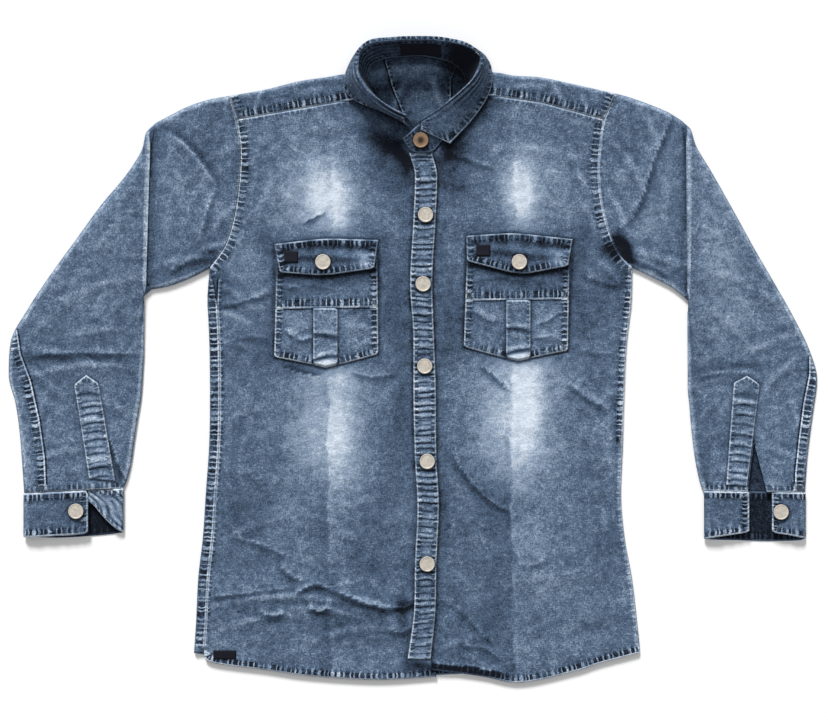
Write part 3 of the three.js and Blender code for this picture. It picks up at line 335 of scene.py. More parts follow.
# Creases and fold edges of the pockets.
POCKET_CREASES = {
    "right": [(-150, 92, 26, 3, -4, 0.8), (-80, 90, 30, 3, 6, 0.7), (-146, 34, 16, 3, -34, 1.0),
              (-134, 26, 20, 3, 12, 1.0), (-156, 56, 14, 4, 10, 0.6), (-66, 44, 20, 4, -20, 0.6),
              (-60, 24, 16, 3, 30, 0.6)],
    "left": [(92, 104, 24, 3, 4, 0.7), (160, 100, 30, 3, -6, 0.8), (86, 60, 20, 4, -30, 0.7),
             (170, 52, 24, 4, 20, 0.8), (166, 30, 20, 3, -12, 0.8), (100, 36, 16, 3, 40, 0.6)],
}
POCKET_FOLDS = {
    "right": [([(-156, 36), (-142, 26), (-128, 27), (-120, 32)], 1.0, 0.9),
              ([(-152, 20), (-140, 34), (-124, 42)], 0.8, 0.5),
              ([(-86, 56), (-66, 66), (-50, 70)], 0.6, 0.4), ([(-160, 88), (-130, 92), (-100, 88)], 0.6, 0.4)],
    "left": [([(74, 62), (92, 50), (110, 50)], 0.8, 0.6), ([(150, 44), (168, 50), (184, 62)], 0.8, 0.6),
             ([(150, 26), (164, 30), (180, 28)], 0.7, 0.5), ([(78, 98), (104, 102), (140, 98)], 0.6, 0.4)],
}

# Levels that the looks share.
SHADE_MOST = 1.5                   # the darkest that shade is let to go
NO_SEAM = {"seam_d": 9.0, "seam_s": 0.0, "seam_e": 9.0, "seam_k": 0.0}
# Of the looks of each point, shade is painted shade, and crest pales raised cloth, partly as wear and partly as
# painted highlight, and darkens its hollows as painted shade.
POINT_LOOKS = (*NO_SEAM, "fade", "crest", "shade")
CREST_FULL = 0.42                  # mm over the cloth round it that counts as a full crest


# Thickness of the labels and patches.
LABEL_WALL = 0.7


def ease(t):
    t = np.clip(t, 0, 1)
    return t * t * (3 - 2 * t)


def mix(a, b, t):
    return a + (b - a) * t


def through(points):
    """A smooth line through points that are evenly spaced in t."""
    pts = np.array(points, float)
    last = len(pts) - 1

    def line(t):
        at = np.clip(np.asarray(t, float), 0, 1) * last
        i = np.minimum(last - 1, np.floor(at).astype(int))
        f = (at - i)[..., None]
        p0, p1 = pts[np.maximum(i - 1, 0)], pts[i]
        p2, p3 = pts[i + 1], pts[np.minimum(i + 2, last)]
        return 0.5 * (2 * p1 + (p2 - p0) * f + (2 * p0 - 5 * p1 + 4 * p2 - p3) * f ** 2
                      + (3 * p1 - p0 - 3 * p2 + p3) * f ** 3)
    return line


def slopes(x, y):
    """Slopes of a smooth line through y at x, which may have more axes."""
    step = np.diff(x)
    rise = np.diff(y, axis=0) / step.reshape(-1, *([1] * (y.ndim - 1)))
    w = step.reshape(-1, *([1] * (y.ndim - 1)))
    inner = (rise[:-1] * w[1:] + rise[1:] * w[:-1]) / (w[1:] + w[:-1])
    most = 3 * np.minimum(np.abs(rise[:-1]), np.abs(rise[1:]))
    inner = np.where(rise[:-1] * rise[1:] > 0, np.clip(inner, -most, most), 0)
    return np.concatenate([rise[:1], inner, rise[-1:]])


def smooth_at(x, y, at):
    """Cubic values at places between rising x."""
    x = np.asarray(x, float)
    y = np.asarray(y, float)
    m = slopes(x, y)
    at = np.clip(at, x[0], x[-1])
    i = np.clip(np.searchsorted(x, at, side="right") - 1, 0, len(x) - 2)
    h = x[i + 1] - x[i]
    f = (at - x[i]) / h
    shape = f.shape + (1,) * (y.ndim - 1)
    f, h = f.reshape(shape), h.reshape(shape)
    return ((1 + 2 * f) * (1 - f) ** 2 * y[i] + f * (1 - f) ** 2 * h * m[i]
            + f * f * (3 - 2 * f) * y[i + 1] + f * f * (f - 1) * h * m[i + 1])


def side_at(side, y):
    return smooth_at(SIDE_Y[::-1], SIDE[side][::-1], y)


def placket_at(edge, y):
    return smooth_at(PLACKET_Y[::-1], PLACKET[edge][::-1], y)


def line_down(edge_at, edge, start, stop, step, shift=0):
    """Points down an edge, at even heights."""
    return [(float(edge_at(edge, np.array(y))) + shift, y) for y in np.arange(start, stop, -step)]


def refine(grid, across=FINE, down=FINE, tube=False):
    """A finer grid on the smooth surface through a coarse one."""
    return refine_axis(refine_axis(grid, 0, down), 1, across, tube)


def refine_axis(grid, axis, spacing, tube=False):
    g = np.swapaxes(grid, 0, axis)
    if tube:
        g = np.concatenate([g[-2:], g, g[:3]])
    step = np.linalg.norm(np.diff(g, axis=0), axis=-1).mean(axis=1)
    at = np.concatenate([[0], np.cumsum(np.maximum(step, 1e-4))])
    low, high = (at[2], at[-3]) if tube else (at[0], at[-1])
    places = np.linspace(low, high, max(2, int(round((high - low) / spacing))) + 1)
    if tube:
        places = places[:-1]
    return np.swapaxes(smooth_at(at, g, places), 0, axis)


def between(x, points, axis):
    """Linear value of the other coordinate on a line of points."""
    p = np.array(sorted(points, key=lambda q: q[axis]), float)
    return np.interp(x, p[:, axis], p[:, 1 - axis])


def bumps(x, y, rows):
    """Sum of soft long rises, each a middle, half sizes, turn and rise."""
    total = np.zeros_like(x)
    for cx, cy, long, wide, turn, rise in rows:
        a = math.radians(turn)
        along = (x - cx) * math.cos(a) + (y - cy) * math.sin(a)
        over = (y - cy) * math.cos(a) - (x - cx) * math.sin(a)
        over = over + 0.12 * along ** 2 / long
        total += rise * np.exp(-(along / long) ** 2 - (over / wide) ** 2)
    return total


def press(x, y):
    """Upright pressed edges down each front."""
    total = np.zeros_like(x)
    for at, rise in PRESS_LINES:
        wander = at + 3 * np.sin(y / 90.0)
        total += rise * np.exp(-((x - wander) / PRESS_WIDE) ** 2)
    return total


def past_press(x, y, at):
    """Millimetres to the left of a pressed edge, which wanders a little."""
    return x - at - 3 * np.sin(y / 90.0) - 1.2 * np.sin(y / 13.0)


def pressed_step(x, y):
    """Painted light on the left of each pressed edge and painted shade on its right."""
    total = np.zeros_like(x)
    for at, _ in PRESS_LINES:
        past = past_press(x, y, at)
        total += np.where(past > 0, 0.6 * np.exp(-past / 22), -np.exp(past / 15))
    return total * (0.1 + 0.5 * ease((-40 - y) / 120)) * (0.7 + 0.3 * np.sin(y / 37.0))


def faded(x, y):
    """The worn pale places, greyer on the right of each pressed edge."""
    total = bumps(x, y, FADES)
    for at, _ in PRESS_LINES:
        past = past_press(x, y, at)
        total *= 1 - 0.26 * np.exp(np.minimum(past, 0) / 20) * (past < 0)
    return np.clip(total, 0, 1)


def front_level(x, y):
    return TOP + bumps(x, y, SWELLS) + bumps(x, y, CREASES) + press(x, y)


def stand_raise(x, y):
    past = x - placket_at("inner", y)
    return ONTO * (1 - ease((past - UNDER_FRONT) / STAND_FADE))


def placket_pucker(x, y):
    """Ripples that the stitches of the button stand draw into the cloth."""
    inner = placket_at("inner", y)
    outer = placket_at("outer", y)
    far = np.maximum(x - inner, outer - x)
    wave = np.sin(y / 4.6 + 1.7 * np.sin(y / 31.0)) + 0.6 * np.sin(y / 8.3 + 0.9)
    return 0.28 * wave * np.exp(-np.maximum(far, 0) / 9.0)


PIECES = []


# What shows on each piece besides its form.
def seam_lines(xy, seams):
    """What the nearest seam does at each place. Each seam is a line of
    points, the offset of its band's middle to the left of the line, the half
    width and the strength. The result has the place in half widths from the
    band's middle, the millimetres along it and from its line, and strength."""
    looks = {"seam_d": np.full(xy.shape[:-1], 9.0), "seam_s": np.zeros(xy.shape[:-1]),
             "seam_e": np.full(xy.shape[:-1], 9.0), "seam_k": np.zeros(xy.shape[:-1])}
    for points, offset, half, power in seams:
        gap, run = nearest(xy, points)
        value = np.abs(gap - offset) / half
        closer = value < looks["seam_d"]
        for key, own in (("seam_d", value), ("seam_s", run), ("seam_k", power)):
            looks[key] = np.where(closer, own, looks[key])
        looks["seam_e"] = np.minimum(looks["seam_e"], np.abs(gap))
    return looks


def either(first, choose, second=NO_SEAM):
    """The looks of the first where choose is true, else of the second."""
    return {key: np.where(choose, first[key], second[key]) for key in first}


def nearest(xy, points):
    """Distance to a line of points, above zero on its left, and the place
    along it."""
    p = np.array(points, float)
    best = np.full(xy.shape[:-1], 1e9)
    sign, along, run = np.zeros_like(best), np.zeros_like(best), 0.0
    for a, b in zip(p[:-1], p[1:]):
        d = b - a
        length = math.sqrt(d @ d)
        if length < 1e-6:
            continue
        t = np.clip(((xy - a) @ d) / length ** 2, 0, 1)
        gap = np.linalg.norm(xy - (a + t[..., None] * d), axis=-1)
        side = np.where(d[0] * (xy[..., 1] - a[1]) - d[1] * (xy[..., 0] - a[0]) < 0, -1, 1)
        sign = np.where(gap < best, side, sign)
        along = np.where(gap < best, run + t * length, along)
        best = np.minimum(best, gap)
        run += length
    return best * sign, along


def distance(xy, points):
    return nearest(xy, points)[0]


def contact(xy, outlines, reach):
    """How close each place is to the outlines of pieces on it, for the painted shade along their edges."""
    total = np.zeros(xy.shape[:-1])
    for points in outlines:
        total = np.maximum(total, np.exp(-np.abs(distance(xy, points)) / reach))
    return total


def lapped(xy, folds):
    """Height and shade of fold edges, where the cloth on the left of each
    line laps over the cloth on its right."""
    z = np.zeros(xy.shape[:-1])
    shade = np.zeros_like(z)
    for points, rise, dark in folds:
        past = distance(xy, smoothed(points, 16))
        over, off = np.maximum(past, 0), np.minimum(past, 0)
        chord = np.array(points[-1], float) - points[0]
        t = (xy - np.array(points[0], float)) @ chord / (chord @ chord)
        near = ease(4 * np.minimum(t + FOLD_END, 1 + FOLD_END - t))
        z += near * rise * np.where(past > 0, np.exp(-over / FOLD_BACK), np.exp(off / FOLD_FRONT))
        shade = np.maximum(shade, near * dark * np.where(past < 0.6, np.exp(off / FOLD_DARK), 0))
    return z, shade


def smoothed(points, count=40):
    return [tuple(p) for p in through(points)(np.linspace(0, 1, count))]


def normals(grid, tube=False):
    if tube:
        across = np.roll(grid, -1, axis=1) - np.roll(grid, 1, axis=1)
    else:
        across = np.gradient(grid, axis=1)
    down = np.gradient(grid, axis=0)
    n = np.cross(across, down)
    return n / np.maximum(np.linalg.norm(n, axis=-1, keepdims=True), 1e-9)


def cloth(name, grid, tube=False, wall=WALL, looks=None, round_rim=0.35, keep=None,
          upward=None):
    """A closed wall of cloth round a grid of middle points. looks holds values
    for each point, keep the cells of the grid that are left, and upward the
    points where the outer side faces up."""
    verts, quads, rim = walled(grid, tube, wall, round_rim, keep, upward)
    mesh = mesh_of(name, verts, quads)
    looks = dict(looks or {})
    spread(mesh, looks.pop("flat", grid[..., :2]), rim)
    mark(mesh, looks, grid.shape[:2], rim)
    piece = bpy.data.objects.new(name, mesh)
    bpy.context.collection.objects.link(piece)
    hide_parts(name)
    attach(piece, "root")
    remove_loose(piece)
    PIECES.append(piece)
    return piece


def walled(grid, tube, wall, round_rim, keep, upward):
    """Points and faces of both sides and the rims between them, and which
    points of the grid are on a rim."""
    rows, cols = grid.shape[:2]
    n = normals(grid, tube)
    z = grid[..., 2]
    if upward is None:
        upward = z >= z.min() + 0.7 * (z.max() - z.min())
    if n[..., 2][upward].sum() < 0:
        n = -n
    upper = (grid + n * wall / 2).reshape(-1, 3)
    lower = (grid - n * wall / 2).reshape(-1, 3)
    index = np.arange(rows * cols).reshape(rows, cols)
    wrap = np.concatenate([index, index[:, :1]], axis=1) if tube else index
    cells = np.stack([wrap[:-1, :-1], wrap[:-1, 1:], wrap[1:, 1:], wrap[1:, :-1]], axis=-1)
    top = cells.reshape(-1, 4) if keep is None else cells[keep]
    lift = rows * cols
    edges = open_edges(top)
    middle = (upper + lower) / 2
    outward = rim_direction(edges, middle, n.reshape(-1, 3))
    rim = np.unique(edges)
    a, b = edges[:, 0], edges[:, 1]
    mid_a, mid_b = np.searchsorted(rim, a) + 2 * lift, np.searchsorted(rim, b) + 2 * lift
    verts = np.concatenate([upper, lower, middle[rim] + outward[rim] * round_rim])
    quads = np.concatenate([top, top[:, ::-1] + lift, np.stack([b, a, mid_a, mid_b], axis=1),
                            np.stack([mid_b, mid_a, a + lift, b + lift], axis=1)])
    if volume(verts, quads) < 0:
        quads = quads[:, ::-1]
    return verts, quads, rim


def mesh_of(name, verts, quads):
    mesh = bpy.data.meshes.new(name)
    mesh.vertices.add(len(verts))
    mesh.vertices.foreach_set("co", (verts * MM).ravel())
    mesh.loops.add(4 * len(quads))
    mesh.loops.foreach_set("vertex_index", quads.ravel().astype(np.int32))
    mesh.polygons.add(len(quads))
    mesh.polygons.foreach_set("loop_start", np.arange(0, 4 * len(quads), 4, dtype=np.int32))
    mesh.update(calc_edges=True)
    mesh.validate()
    mesh.polygons.foreach_set("use_smooth", np.ones(len(quads), bool))
    return mesh


def mark(mesh, looks, shape, rim):
    """Gives each point of a mesh its looks, the same on both sides of the
    cloth apart from the shade."""
    for key in POINT_LOOKS:
        outer = np.broadcast_to(np.asarray(looks.get(key, NO_SEAM.get(key, 0.0)), float), shape).ravel()
        inner = outer
        if key == "shade" and "shade_inside" in looks:
            inner = np.broadcast_to(np.asarray(looks["shade_inside"], float), shape).ravel()
        values = np.concatenate([outer, inner, outer[rim]])
        mesh.attributes.new(key, "FLOAT", "POINT").data.foreach_set("value", values.astype(np.float32))


def remove_loose(piece):
    """Points that no face uses any more, where cells were left out."""
    mesh = piece.data
    used = np.zeros(len(mesh.vertices), bool)
    loops = np.empty(len(mesh.loops), np.int32)
    mesh.loops.foreach_get("vertex_index", loops)
    used[loops] = True
    if used.all():
        return
    activate(piece)
    bpy.ops.object.mode_set(mode="EDIT")
    bpy.ops.mesh.select_all(action="SELECT")
    bpy.ops.mesh.delete_loose(use_verts=True, use_edges=True, use_faces=False)
    bpy.ops.object.mode_set(mode="OBJECT")


def activate(piece):
    bpy.ops.object.select_all(action="DESELECT")
    piece.select_set(True)
    bpy.context.view_layer.objects.active = piece


def open_edges(quads):
    """Edges with one face, in the direction that their face runs."""
    a = quads
    b = np.roll(quads, -1, axis=1)
    pairs = np.stack([a.ravel(), b.ravel()], axis=1)
    key = np.sort(pairs, axis=1)
    code = key[:, 0].astype(np.int64) * (quads.max() + 1) + key[:, 1]
    _, first, counts = np.unique(code, return_index=True, return_counts=True)
    return pairs[first[counts == 1]]


def rim_direction(edges, middle, n):
    """Outward direction in the cloth at each point of an open edge."""
    out = np.zeros_like(middle)
    along = middle[edges[:, 1]] - middle[edges[:, 0]]
    for column in (0, 1):
        side = np.cross(along, n[edges[:, column]])
        np.add.at(out, edges[:, column], side)
    length = np.linalg.norm(out, axis=1, keepdims=True)
    return out / np.maximum(length, 1e-9)


def volume(verts, quads):
    a, b, c, d = (verts[quads[:, k]] for k in range(4))
    return float((np.cross(a, b) * c).sum() + (np.cross(a, c) * d).sum())


def spread(mesh, flat, rim):
    """UV map of the flat cloth, in metres."""
    flat = flat.reshape(-1, 2)
    uv = np.concatenate([flat, flat, flat[rim]]) * MM
    loops = np.empty(len(mesh.loops), np.int32)
    mesh.loops.foreach_get("vertex_index", loops)
    layer = mesh.uv_layers.new(name="cloth")
    layer.data.foreach_set("uv", uv[loops].astype(np.float32).ravel())


def unrolled(grid):
    """Distances across and down a grid, as its flat cloth."""
    across = np.linalg.norm(np.diff(grid, axis=1), axis=-1).mean(axis=0)
    down = np.linalg.norm(np.diff(grid, axis=0), axis=-1).mean(axis=1)
    u = np.concatenate([[0], np.cumsum(across)])
    v = np.concatenate([[0], np.cumsum(down)])
    return np.stack(np.meshgrid(u, v), axis=-1)


# Body panels.
def roll_side(x, y, side, level):
    out = OUT[side]
    start = side_at(side, y) - out * FOLD_R
    past = out * (x - start)
    top = mix(level, TOP, ease(1 + past / 18))
    turn = np.clip(past / FOLD_R, 0, math.pi)
    beyond = np.maximum(past - math.pi * FOLD_R, 0)
    rolled = start + out * (FOLD_R * np.sin(turn) - beyond)
    on_top = past <= 0
    return np.stack([np.where(on_top, x, rolled), y,
                     np.where(on_top, top, MID + FOLD_R * np.cos(turn))], axis=-1)


def seam_past(side, y):
    low = math.pi * FOLD_R + SIDE_LAP if side == "left" else -SIDE_LAP
    return mix(math.pi * FOLD_R / 2, low, ease((SIDE_Y[0] - y) / LAP_FADE))


def body_edge(side, first, upper, hem_y):
    out = OUT[side]
    rows = [(x - out * GAP, y) for x, y in ARMHOLE[side][first:-1]]
    heights = list(np.arange(SIDE_Y[0], hem_y + 12.5, -25.0)) + [hem_y]
    for y in heights:
        start = float(side_at(side, np.array(float(y)))) - out * FOLD_R
        seam = float(seam_past(side, y))
        past = seam if upper else math.pi * FOLD_R - seam
        gap = 3 * GAP if y > SIDE_Y[1] else GAP / 2
        rows.append((start + out * (past - gap), float(y)))
    return rows


def front(side):
    out = OUT[side]
    rows = body_edge(side, 1, True, HEM[side][0][1])
    rows[0] = (rows[0][0], rows[0][1] - GAP)
    v = np.linspace(0, 1, 276)
    u = np.concatenate([np.linspace(0, 0.09, 13)[:-1], np.linspace(0.09, 1, 92)])
    stand_x = UNDER_FRONT if side == "right" else GAP
    y_stand = mix(NECKLINE["right"][3][1], HEM[side][-1][1], v)
    right = np.stack([placket_at("inner", y_stand) + stand_x, y_stand], axis=-1)
    left = through(rows)(v)
    hem = through([rows[-1], *HEM[side][1:-1], tuple(right[-1])])(u)
    inset = [(x, y - GAP) for x, y in YOKE_SEAM[side][1:]]
    neckline = through([inset[1], *NECKLINE[side][1:-1], tuple(right[0])])
    share = 0.58
    seam_x = mix(rows[0][0], inset[1][0], np.minimum(u / share, 1))
    seam = np.stack([seam_x, between(seam_x, [rows[0], *inset], 0)], axis=-1)
    top = np.where((u < share)[:, None], seam, neckline((u - share) / (1 - share)))
    U, V = np.meshgrid(u, v)
    flat = ((1 - U)[..., None] * left[:, None] + U[..., None] * right[:, None]
            + (1 - V)[..., None] * top[None] + V[..., None] * hem[None]
            - ((1 - U) * (1 - V))[..., None] * top[0] - (U * (1 - V))[..., None] * top[-1]
            - ((1 - U) * V)[..., None] * hem[0] - (U * V)[..., None] * hem[-1])
    x, y = flat[..., 0], flat[..., 1]
    fade_top = ease(1 - V * (len(rows) - 1) / 1.2)
    lap, lap_shade = lapped(flat, FRONT_FOLDS[side])
    level = mix(front_level(x, y) + lap, TOP, fade_top) + placket_pucker(x, y)
    if side == "left":
        level = level + stand_raise(x, y)
    grid = roll_side(x, y, side, level)
    seams = [
        (smoothed(ARMHOLE[side]), -5.5 * out, 5.0, 0.9),
        ([rows[0], *inset], 3.0 * out, 2.6, 0.35),
        (list(map(tuple, hem[::6])), -4.3 * out, 4.0, 1.0),
    ]
    if side == "right":
        seams.append((line_down(side_at, side, 100.0, -361.0, 30, 12), 2.4, 2.0, 0.6))
    else:
        side_line = line_down(side_at, side, 112.0, -356.0, 26)
        seams += [(side_line[:9], -4.6, 3.8, 1.0), (side_line[8:], -3.2, 2.6, 0.3)]
    seam_looks = seam_lines(grid[..., :2], seams)
    p = POCKET[side]
    pocket_line = [p["flap_top"][0], p["side"][0], p["point"], p["side"][1], p["flap_top"][2]]
    stand_edge = line_down(placket_at, "outer" if side == "right" else "inner", 250.0, -380.0, 20)
    leaf = [row[2][:2] for row in COLLAR if row[2] and (row[2][0] < NECK_MIDDLE) == (side == "right")]
    outlines = [pocket_line, p["flap_top"], stand_edge]
    # Painted shade: along the edges of the pieces laid on the front, the collar leaf's shadow, the painted shade
    # spots and the soft folds' shade.
    shade = np.maximum(1.15 * contact(flat, outlines, 2.2), 0.3 * contact(flat, outlines, 9.0))
    shade = np.maximum(shade, 1.2 * contact(flat, [leaf], 8.0))
    shade = np.clip(shade + 0.8 * bumps(x, y, PAINTED_SHADE) + lap_shade, 0, SHADE_MOST)
    looks = dict(seam_looks, flat=flat, shade=shade, shade_inside=0.4,
                 fade=faded(x, y), crest=crest_of(grid) + pressed_step(x, y))
    return cloth(f"front_{side}", grid, looks=looks)


def crest_of(grid, reach=7.0):
    """How far each point stands over its neighbourhood, from -1 to 1. The tone pales the crests, partly as wear and
    partly as painted highlight, and darkens the hollows as painted shade.
    """
    z = grid[..., 2]
    count = max(2, int(reach / FINE))
    soft = z.copy()
    for axis in (0, 1):
        pad = [(count, count) if a == axis else (0, 0) for a in (0, 1)]
        wide = np.pad(soft, pad, mode="edge")
        soft = sum(np.take(wide, np.arange(k, k + z.shape[axis]), axis=axis)
                   for k in range(2 * count + 1)) / (2 * count + 1)
    return np.clip((z - soft) / CREST_FULL, -1, 1)


def back():
    right = through(body_edge("right", 2, False, BACK_HEM))
    left = through(body_edge("left", 2, False, BACK_HEM))
    v = np.linspace(0, 1, 130)
    u = np.concatenate([np.linspace(0, 0.05, 14)[:-1], np.linspace(0.05, 0.95, 95)[:-1],
                        np.linspace(0.95, 1, 14)])
    a, b = right(v), left(v)
    U, V = np.meshgrid(u, v)
    sag = BACK_TAIL * ease((V - 1) / TAIL_SHARE + 1)
    flat = mix(a[:, None], b[:, None], U[..., None])
    x = flat[..., 0]
    y = flat[..., 1] - sag * np.sin(np.pi * U) - GAP * (V == 0)
    halves = [roll_side(x, y, side, np.full_like(x, TOP)) for side in OUT]
    grid = np.where((U < 0.5)[..., None], halves[0], halves[1])
    grid[..., 2] = LOW + TOP - grid[..., 2]
    side_line = line_down(side_at, "right", 100.0, -380.0, 30, 11.4)
    hem_line = [tuple(q) for q in np.stack([x[-1], y[-1]], axis=-1)[::6]]
    flat = np.stack([x, y], axis=-1)
    on_top = grid[..., 2] > MID
    seam_looks = either(seam_lines(grid[..., :2], [(side_line, -5.4, 4.8, 1.0)]), on_top,
                        seam_lines(flat, [(hem_line, 5.0, 4.6, 1.0)]))
    return cloth("back", grid, looks=dict(seam_looks, flat=flat, shade_inside=0.5))


def yoke():
    path = []
    sides = {"right": [], "left": []}
    for j, (back_x, top_x, top_y, edge_x, edge_y, neck) in enumerate(YOKE):
        side = "right" if top_x < 0 else "left"
        if edge_y is None:
            edge_y = float(between(edge_x, YOKE_SEAM[side], 0))
        top = top_y - FOLD_R
        end = j in (0, len(YOKE) - 1)
        seam_y = ARMHOLE[side][1][1]

        def low_x(y):
            if end:
                return float(between(y, ARMHOLE[side], 1))
            return mix(back_x, top_x, (y - YOKE_BACK_Y) / (top - YOKE_BACK_Y))

        turn = [(low_x(top), top + FOLD_R * math.sin(a), MID - FOLD_R * math.cos(a))
                for a in (math.pi * k / 4 for k in range(1, 4))]
        shoulder = ([(low_x(y), y, LOW) for y in (YOKE_BACK_Y, seam_y, top - 12, top)] + turn
                    + [(low_x(top), top, TOP), (mix(low_x(top), edge_x, 0.5), mix(top, edge_y, 0.5), TOP),
                       (edge_x, edge_y, TOP)])
        rise = []
        for t in (0, 0.4, 0.62, 0.72, 0.77, 0.82, 0.87, 0.91, 0.955, 1.035):
            y = mix(YOKE_BACK_Y, top_y, t)
            z = LOW + NECK_RISE * float(ease(1 - (top_y - y) / NECK_SLOPE))
            rise.append((mix(back_x, top_x, t), y, z))
        path.append([[mix(p, q, neck) for p, q in zip(a, b)] for a, b in zip(shoulder, rise)])
    grid = np.array(path).swapaxes(0, 1)
    grid = refine(grid, across=FINE, down=2.2)
    x, y = grid[..., 0], grid[..., 1]
    from_neck = np.abs(x - NECK_MIDDLE)
    up = ease((grid[..., 2] - MID) / 1.5) * (from_neck > 66)
    grid[..., 2] += up * bumps(x, y, SHOULDER_CREASES)
    grid[..., 2] += np.where(from_neck < 60, bumps(x, y, NECK_CREASES), 0) * (y < 350)
    seams = []
    for side, out in OUT.items():
        seams.append((YOKE_SEAM[side], -5.5 * out, 5.0, 1.0))
        seams.append((ARMHOLE[side][:3], -5.5 * out, 5.0, 0.8))
    outer = (grid[..., 2] > MID) & ((x < -56) | (x > 74))
    inner = ~outer & (from_neck < 74)
    seam_looks = either(seam_lines(grid[..., :2], seams), outer,
                        either(seam_lines(grid[..., :2], NECK_SEAMS), inner))
    shade = contact(grid[..., :2], [[row[0][:2] for row in COLLAR]], 13.0)
    right_side = ease((x - 24) / 26) * ease((y - 326) / 22)
    return cloth("yoke", grid, upward=outer & (np.abs(x) > 100),
                 looks=dict(seam_looks, flat=unrolled(grid), shade=0.1 + 0.5 * shade, crest=crest_of(grid),
                            shade_inside=0.05 + 0.7 * shade + 0.9 * right_side))


# Sleeves and cuffs.
def sleeve_rings(side):
    out = OUT[side]
    seam = [(x + out * GAP, y) for x, y in ARMHOLE[side]]
    seam[-1] = (seam[-1][0] + out * 0.6, seam[-1][1])
    seam = np.array(seam)
    heights = np.array([y for _, y in ARMHOLE[side]], float)
    along = (heights[0] - heights) / (heights[0] - heights[-1])
    straight = mix(seam[0], seam[-1], along[:, None])
    bow = seam - straight

    def ring(outer, inner, kept, rise, step):
        outer, inner = np.array(outer, float), np.array(inner, float)
        inset = FOLD_R / np.linalg.norm(inner - outer)
        t = np.clip(along, inset, 1 - inset)
        xy = mix(outer, inner, t[:, None]) + bow * kept
        z = TOP + rise * ease(np.sin(np.pi * along) * RISE_SPREAD)
        opened = np.zeros_like(along)
        spread_x, dx = 0.0, 0.0
        if step is not None:
            under, more, layers = FOLD_PATH[step]
            opened = np.array(FOLD_OPEN, float)
            spread_x = (step - (len(FOLD_PATH) - 1) / 2) * FOLD_STEP
            dx = more + under * np.array(FOLD_UNDER, float)
            z = TOP + opened * layers * LAYER
        fall = spread_x * FOLD_FALL
        y = xy[:, 1] - (1 - opened) * fall
        upper = np.stack([xy[:, 0] + out * mix(spread_x, dx, opened), y, z], axis=-1)
        lower = np.stack([xy[:, 0] + out * spread_x, y, np.full_like(z, LOW)], axis=-1)[::-1]
        tips = [np.array([[p[0] + out * spread_x, p[1] - fall, MID]]) for p in (outer, inner)]
        return np.concatenate([tips[0], upper, tips[1], lower])

    rings = [ring(seam[0], seam[-1], 1, 0, None)]
    for k, (outer, inner, rise) in enumerate(SLEEVE[side]):
        kept = max(0.0, 1 - (k + 1) / BOW_RINGS) ** 1.5
        if rise == "fold":
            rings += [ring(outer, inner, kept, 0, s) for s in range(len(FOLD_PATH))]
        else:
            rings.append(ring(outer, inner, kept, rise, None))
    return np.array(rings)


def sleeve(side):
    grid = refine(sleeve_rings(side), across=2.5, down=2.5, tube=True)
    x, y, z = grid[..., 0].copy(), grid[..., 1], grid[..., 2].copy()
    up = ease((z - MID) / 1.6)
    lap, lap_shade = lapped(grid[..., :2], SLEEVE_FOLDS[side])
    grid[..., 2] += up * (0.7 * bumps(x, y, SLEEVE_CREASES[side]) + lap)
    grid[..., 2] = np.maximum(grid[..., 2], LOW)
    out = OUT[side]
    seams = [(smoothed(ARMHOLE[side]), 1.8 * out, 1.6, 0.35), (SLEEVE_SEAM[side], 5.4 * out, 4.8, 1.0),
             (SLEEVE[side][-1][:2], -4.0 * out, 3.6, 0.7)]
    seam_looks = either(seam_lines(grid[..., :2], seams), z > MID)
    fold = next(row for row in SLEEVE[side] if row[2] == "fold")
    past = out * distance(grid[..., :2], fold[:2])
    beside = (past < 1.5) & (z < TOP + 1.2 * LAYER)
    shade = np.where(beside, 0.6 * np.exp(-np.abs(past) / 5.0), 0) + lap_shade
    shade += bumps(x, y, SLEEVE_PAINTED_SHADE[side])
    strip = [SLEEVE_PLACKET[side][key] for key in ("far_end", "far", "tip", "near", "near_end")]
    shade += 0.5 * contact(grid[..., :2], [strip], 1.6)
    shade = np.where(z > MID, np.clip(shade, 0, SHADE_MOST), 0)
    # A painted highlight along the fold edge itself, beside the painted shade on its body side.
    crest = np.where(z > MID, crest_of(grid) + 0.8 * np.exp(-((past - 1.2) / 1.2) ** 2) * ~beside, 0)
    fade = np.clip(bumps(x, y, SLEEVE_FADES[side]), 0, 1)
    keep = outside_slit(grid) if side == "left" else None
    return cloth(f"sleeve_{side}", grid, tube=True, keep=keep,
                 looks=dict(seam_looks, flat=unrolled(grid), shade=shade, shade_inside=0.75, fade=fade,
                            crest=crest))


